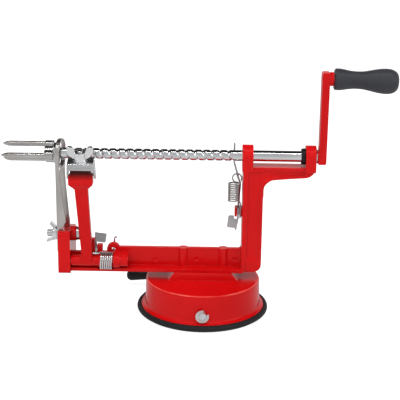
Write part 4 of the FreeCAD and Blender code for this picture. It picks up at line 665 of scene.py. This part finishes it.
# The coring blade: its ring, the legs' distance from the middle at the foot, and the heights
# of the foot's lower end and of the place from which the legs spread to the ring
RING_RADIUS, LEG_OFFSET = 10.08, 9.1
FOOT_BOTTOM, SPREAD_START = 46.0, 63.0


def blade_section(y, z, out, left, right):
    """A cut across the strip, its left edge ground thin; out is the way of its thickness."""
    half, thin, ground, corner, drop = 0.42, 0.12, 0.8, 0.25, 0.2
    corners = [(left, thin), (left + ground, half), (right - corner, half),
               (right, half - drop), (right, drop - half), (right - corner, -half),
               (left + ground, -half), (left, -thin)]
    return [mm(x, y + out[0] * rise, z + out[1] * rise) for x, rise in corners]


def blade_leg(side, edges, heights):
    """Sections up one leg; edges holds rows of (height, left, right)."""
    rows = []
    for z in heights:
        share = max(0.0, (z - SPREAD_START) / (SHAFT_HEIGHT - SPREAD_START))
        y = side * (LEG_OFFSET + (RING_RADIUS - LEG_OFFSET) * share)
        rows.append(blade_section(y, z, (side, 0.0), *lerp_table(edges, z)))
    return rows


def blade_bow(start, end):
    """Sections along the slanting ring, in degrees from the near leg over the top."""
    steps, near_edge, slant, width = 40, -105.35, 2.3, 3.05
    rows = []
    for k in range(steps + 1):
        turn = math.radians(start + (end - start) * k / steps)
        y, z = -RING_RADIUS * math.cos(turn), SHAFT_HEIGHT + RING_RADIUS * math.sin(turn)
        left = near_edge + slant * ((1 - math.cos(turn)) / 2)
        rows.append(blade_section(y, z, (-math.cos(turn), math.sin(turn)), left, left + width))
    return rows


def blade_foot():
    """The slotted plate between the legs, with rounded corners."""
    low, high, rounding = 46.6, 62.4, 0.6
    slot_half, slot_radius = 3.4, 2.5
    faces = (-105.2, -104.25)
    outline = []
    for side, z, first in ((1, high, 0), (-1, high, 90), (-1, low, 180), (1, low, 270)):
        outline += arc((side * (LEG_OFFSET - rounding), z), rounding, first, first + 90, 5)
    slot = arc((0, BLADE_BOLT_HEIGHT + slot_half), slot_radius, 0, 180, 12)
    slot += arc((0, BLADE_BOLT_HEIGHT - slot_half), slot_radius, 180, 360, 12)
    work = bmesh.new()
    for line in (outline, slot):
        near, far = [[work.verts.new(mm(x, y, z)) for y, z in line] for x in faces]
        for k in range(len(line)):
            m = (k + 1) % len(line)
            work.faces.new((near[k], near[m], far[m], far[k]))
    for x in faces:
        rim = [edge for edge in work.edges
               if all(abs(vert.co.x - x * MM) < 0.000001 for vert in edge.verts)]
        bmesh.ops.triangle_fill(work, use_beauty=True, edges=rim)
    bmesh.ops.recalc_face_normals(work, faces=work.faces)
    return as_mesh("blade_foot", work)


def coring_blade():
    """One spring-steel strip: foot, broad near leg, slanting sharpened ring, far leg."""
    near = [(FOOT_BOTTOM, -105.2, -100.9), (64.0, -105.2, -100.9), (68.5, -105.2, -98.5),
            (88.0, -105.2, -100.7), (110.0, -105.25, -102.7), (SHAFT_HEIGHT, -105.35, -102.3)]
    far = [(FOOT_BOTTOM, -102.2, -97.9), (64.0, -102.2, -97.9), (68.5, -103.6, -98.4),
           (82.5, -104.4, -99.6), (92.0, -104.9, -100.4), (104.0, -104.9, -101.0),
           (107.5, -103.4, -100.5), (SHAFT_HEIGHT, -102.9, -100.0)]
    heights = [FOOT_BOTTOM, 55, 62, 64, 66, 68.5] + [68.5 + 4.0 * k for k in range(1, 12)]
    strip = (blade_leg(-1, near, heights) + blade_bow(0, 180)
             + blade_leg(1, far, heights[::-1]))
    work = bmesh.new()
    for mesh in (skin("blade_strip", strip, sharp=30),
                 skin("blade_lower_arc", blade_bow(-1, -179), sharp=30), blade_foot()):
        work.from_mesh(mesh)
    new_piece("coring_blade", as_mesh("coring_blade", work), "frame", "blade_steel",
              LOOKS["slicer_blade"], "slicer_blade")


def base_dome():
    """The cast base: upright wall, tight shoulder, foot fillet and the frame's platform."""
    foot = [(44.9, 4.4), (44.95, 4.7)] + arc((44.6, 5.0), 0.35, 10, 80, 4)
    fillet = arc((44.55, 7.75), 2.4, 266, 186, 10)
    wall = [(41.95, 10.0), (41.75, 16.0), (41.5, 23.6)]
    shoulder = arc((39.9, 23.9), 1.6, 0, 88, 8)
    top = [(39.0, 25.55), (30.0, 25.6), (0.0, 25.6)]
    hollow = [(0.0, 22.9), (36.6, 22.9), (38.6, 21.0), (39.3, 10.0), (41.2, 6.6), (42.2, 4.4)]
    dome = lathe("dome", foot + fillet + wall + shoulder + top + hollow)
    platform = prism("platform", [(-25.9, 24.8), (25.9, 24.8), (24.9, 25.9), (20.9, 31.0),
                                  (20.1, 31.5), (-20.1, 31.5), (-20.9, 31.0), (-24.9, 25.9)],
                     -10.8, 10.8, "Y", ease=0.45)
    cuts =[prism("axle_hole", circle(0, AXLE_HEIGHT, 2.85), -60, 60, "Y"),
            prism("clip_seat", circle(0, AXLE_HEIGHT, 5.6), -60, -43.7, "Y")]
    cuts += [prism("screw_hole", circle(side * 14.5, 0, 2.1), 15, 40) for side in (-1, 1)]
    new_piece("base_dome", carved("base_dome", dome, [platform], cuts, sharp=38), "frame",
              "enamel_base", LOOKS["suction_dome"], "suction_dome")


def base_pad():
    """The rubber cup: a fat rounded rim that stands a little proud of the dome's foot."""
    rim = [(44.0, 0.0), (45.6, 0.25)] + arc((45.88, 3.0), 2.1, -75, 75, 14)
    seat = [(45.6, 5.15), (45.25, 4.9), (45.15, 4.4), (10.2, 4.4)]
    middle = [(10.2, 1.1), (0.0, 1.1), (0.0, 0.0)]
    mesh = lathe("base_pad", rim + seat + middle)
    mesh.shade_smooth()
    mesh.set_sharp_from_angle(angle=math.radians(40))
    new_piece("base_pad", mesh, "frame", "pad_rubber", LOOKS["suction_pad"], "suction_pad")


def side_nut():
    """The pressed wing nut behind the blade: a flanged hub with two flat folded wings."""
    seat, thickness, half_width = -106.0, 1.3, 3.2
    hub = prism("hub", circle(0, BLADE_BOLT_HEIGHT, 4.2), -109.2, seat, "X", ease=0.35)
    flange = prism("flange", circle(0, BLADE_BOLT_HEIGHT, 5.0), -107.2, seat, "X", ease=0.3)
    bore = prism("bore", circle(0, BLADE_BOLT_HEIGHT, 2.58), -112, -104, "X")
    wings = []
    for start, end in ((Vector((-106.7, 60.3)), Vector((-110.9, 65.0))),
                       (Vector((-106.7, 53.6)), Vector((-113.7, 51.3)))):
        along = end - start
        across = Vector((-along.y, along.x)).normalized() * thickness / 2
        corners = (start - across, end - across, end + across, start + across)
        wings.append(prism("wing", corners, -half_width, half_width, "Y", ease=0.3))
    new_piece("side_nut", carved("side_nut", hub, [flange] + wings, [bore], sharp=35),
              "slicer_nut", "nut_steel", LOOKS["slicer_wing_nut"], "slicer_wing_nut")


def web_stations():
    """Lines across the post's web and then across the bracket's, as (start, end, level, flat).

    They start at the left or top edge and end at the right or lower one. level is how far
    these edges stand to the front, and flat is 1 where the web between them is filled up.
    """
    left, right, foot, top, level = 31.15, 41.95, 31.95, 107.45, 8.05
    toe, elbow, elbow_height = 6.0, 8.35, 92.6
    lower, slope = 100.75, 0.091
    stations = []
    for k in range(7):
        turn = math.radians(-90 + 15 * k)
        end = (right - toe + toe * math.cos(turn), foot + toe + toe * math.sin(turn))
        stations.append(((left, foot + k), end, level, 1.0))
    for z, flat in ((39.2, 1.0), (40.4, 0.85), (42, 0.5), (43.6, 0.15), (44.8, 0), (50, 0),
                    (60, 0), (70, 0), (80, 0), (88, 0)):
        stations.append(((left, z), (right, z), level, flat))
    for k, (start, corner_level) in enumerate((
            ((left, 95), level), ((left, 101), level), ((left, 106.4), level),
            ((31.6, 107.1), level), ((32.3, top), level), ((36, top), level),
            ((40, top), 8.0), ((44, top), 7.5), ((48, top), 6.9))):
        turn = math.radians(180 - 9.5 * k)
        end = (right + elbow + elbow * math.cos(turn), elbow_height + elbow * math.sin(turn))
        stations.append((start, end, corner_level, 0))
    for x in (53, 57, 62, 67, 70.9):
        stations.append(((x, top), (x, lower + (x - 49) * slope), 6.56, 0))
    return stations


def post_web():
    """The post's and bracket's web, which runs out to their right and lower edges."""
    sunk, thickness, lip, lip_share = 1.2, 1.2, 0.35, 0.12
    rise_start, rise_length = 0.6, 0.3
    rings = []
    for start, end, level, flat in web_stations():
        a, b = Vector(start), Vector(end)
        front = []
        for share in (0, 0.06, 0.12, 0.2, 0.35, 0.55, 0.7, 0.78, 0.86, 0.93, 0.97, 1.0):
            spot = a.lerp(b, share)
            rise = min(1.0, max(0.0, (share - rise_start) / rise_length))
            rise = max(rise * rise * (3 - 2 * rise), flat)
            depth = level - sunk + sunk * rise
            if share < lip_share:
                depth += lip * (1 - share / lip_share) ** 2
            if share == 1.0:
                depth -= lip
            front.append(mm(spot.x, -depth, spot.y))
        back = [mm(b.x, -level + thickness, b.y), mm(a.x, -level + sunk + thickness, a.y)]
        rings.append(front + back)
    new_piece("post_web", skin("post_web", rings, sharp=50), "frame", "enamel",
              LOOKS["frame_casting"])


def ejector_marks():
    """Three faint rings that the mould's ejector pins leave on the beam's web."""
    places = ((-34.7, 37.9), (-4.9, 38.7), (23.1, 38.9))
    face, radius = -1.5, 2.5
    profile = ((radius, -0.2), (radius, 0.06), (radius - 0.15, 0.14), (radius - 0.55, 0.14),
               (radius - 0.8, 0.03), (0.5, 0.02))
    for number, (x, height) in enumerate(places, 1):
        name = "ejector_mark_%d" % number
        rings = [[mm(x + a, face - lift, height + b) for a, b in circle(0, 0, size, 40)]
                 for size, lift in profile]
        new_piece(name, skin(name, rings, sharp=50), "frame", "enamel", LOOKS["frame_casting"])


release_spring()
arm_spring()
feed_screw()
crank_grip()
coring_blade()
base_dome()
base_pad()
side_nut()
post_web()
ejector_marks()


# Studio

def studio_material(name, shown, mirrored, diffuse):
    """White to the camera but for the object's shadow, greyer to mirrors, plain to light."""
    material = bpy.data.materials.new(name)
    n = Nodes(material)

    def matt(shade):
        return n.add("ShaderNodeBsdfDiffuse", {"Color": (shade, shade, shade, 1)}).outputs[0]

    def glowing(strength, shade):
        glow = n.add("ShaderNodeEmission", {"Strength": strength}).outputs[0]
        return n.add("ShaderNodeAddShader", {0: glow, 1: matt(shade)}).outputs[0]

    def mix(share, first, second):
        return n.add("ShaderNodeMixShader", {0: share, 1: first, 2: second}).outputs[0]

    surface = mix(n.mirror_rays(), matt(diffuse), glowing(mirrored, shade=0.25))
    surface = mix(n.camera_rays(), surface, glowing(shown, shade=0.42))
    n.add("ShaderNodeOutputMaterial", {"Surface": surface})
    return material


def make_floor():
    """A wide white disc just under the pad, which catches the object's shadow."""
    work = bmesh.new()
    bmesh.ops.create_circle(work, cap_ends=True, radius=9.0, segments=96)
    floor = bpy.data.objects.new("floor", as_mesh("floor", work))
    floor.location.z = -0.0001
    floor.data.materials.append(
        studio_material("floor_white", shown=0.86, mirrored=0.42, diffuse=0.8))
    bpy.context.scene.collection.objects.link(floor)


def make_world():
    """White low and dark above for mirrors, even light for the rest, white to the camera."""
    world = bpy.data.worlds.new("studio")
    bpy.context.scene.world = world
    n = Nodes(world)

    def mix(share, first, second):
        return n.add("ShaderNodeMix", {"Factor": share, "A": first, "B": second}).outputs[0]

    direction = n.add("ShaderNodeTexCoord").outputs["Generated"]
    parts = n.add("ShaderNodeSeparateXYZ", {0: direction}).outputs
    low = n.spread(parts["Z"], 0.36, 0.52, 1.0, 0.03)
    before = n.spread(parts["Y"], 0.02, -0.25, 0.0, 1.0)
    overhead = n.spread(parts["Z"], 0.90, 0.985, 0.72, 0.03)
    level = n.spread(before, 0.0, 1.0, 1.0, 0.66)
    mirrored = n.maths("MAXIMUM", n.maths("MULTIPLY", low, level),
                       n.maths("MULTIPLY", overhead, before))
    strength = mix(n.mirror_rays(), 0.46, mirrored)
    strength = mix(n.camera_rays(), strength, 1.0)
    background = n.add("ShaderNodeBackground", {"Strength": strength}).outputs[0]
    n.add("ShaderNodeOutputWorld", {"Surface": background})


def soft_box(name, place, width, height, power, target=(0, 0, 0.08), mirrored=True):
    """An area lamp turned to its target, in metres and watts, shown in mirrors or not."""
    lamp = bpy.data.lights.new(name, "AREA")
    lamp.shape = "RECTANGLE"
    lamp.size, lamp.size_y, lamp.energy = width, height, power
    item = bpy.data.objects.new(name, lamp)
    bpy.context.scene.collection.objects.link(item)
    item.location = place
    item.rotation_euler = (Vector(target) - Vector(place)).to_track_quat("-Z", "Y").to_euler()
    item.visible_glossy = mirrored


def make_lamps():
    soft_box("front_box", (-0.5, -1.5, 1.0), width=2.0, height=1.2, power=15, mirrored=False)
    soft_box("side_box", (1.5, -0.7, 0.9), width=1.2, height=1.2, power=6)
    soft_box("top_box", (0.0, 0.1, 1.7), width=1.4, height=1.2, power=12, target=(0, 0, 0),
             mirrored=False)
    soft_box("key_strip", (0.0, -0.55, 1.6), width=1.8, height=0.06, power=7)


def make_camera():
    """The photograph's viewpoint, fitted to the object's own points."""
    place = mm(-0.44, -762.5, 314.1)
    pitch, yaw, roll = math.radians(16.825), math.radians(0.18), math.radians(0.83)
    forward = Vector((-math.sin(yaw) * math.cos(pitch), math.cos(yaw) * math.cos(pitch),
                      -math.sin(pitch)))
    right = Vector((math.cos(yaw), math.sin(yaw), 0))
    level = Matrix((right, right.cross(forward), -forward)).transposed()
    data = bpy.data.cameras.new("camera")
    data.sensor_width, data.lens = 36.0, 99.612
    data.clip_start, data.clip_end = 0.05, 40.0
    camera = bpy.data.objects.new("camera", data)
    bpy.context.scene.collection.objects.link(camera)
    camera.matrix_world = (Matrix.Translation(place)
                           @ (level @ Matrix.Rotation(roll, 3, "Z")).to_4x4())
    bpy.context.scene.camera = camera


make_floor()
make_world()
make_lamps()
make_camera()
bpy.context.scene.view_settings.view_transform = "Standard"
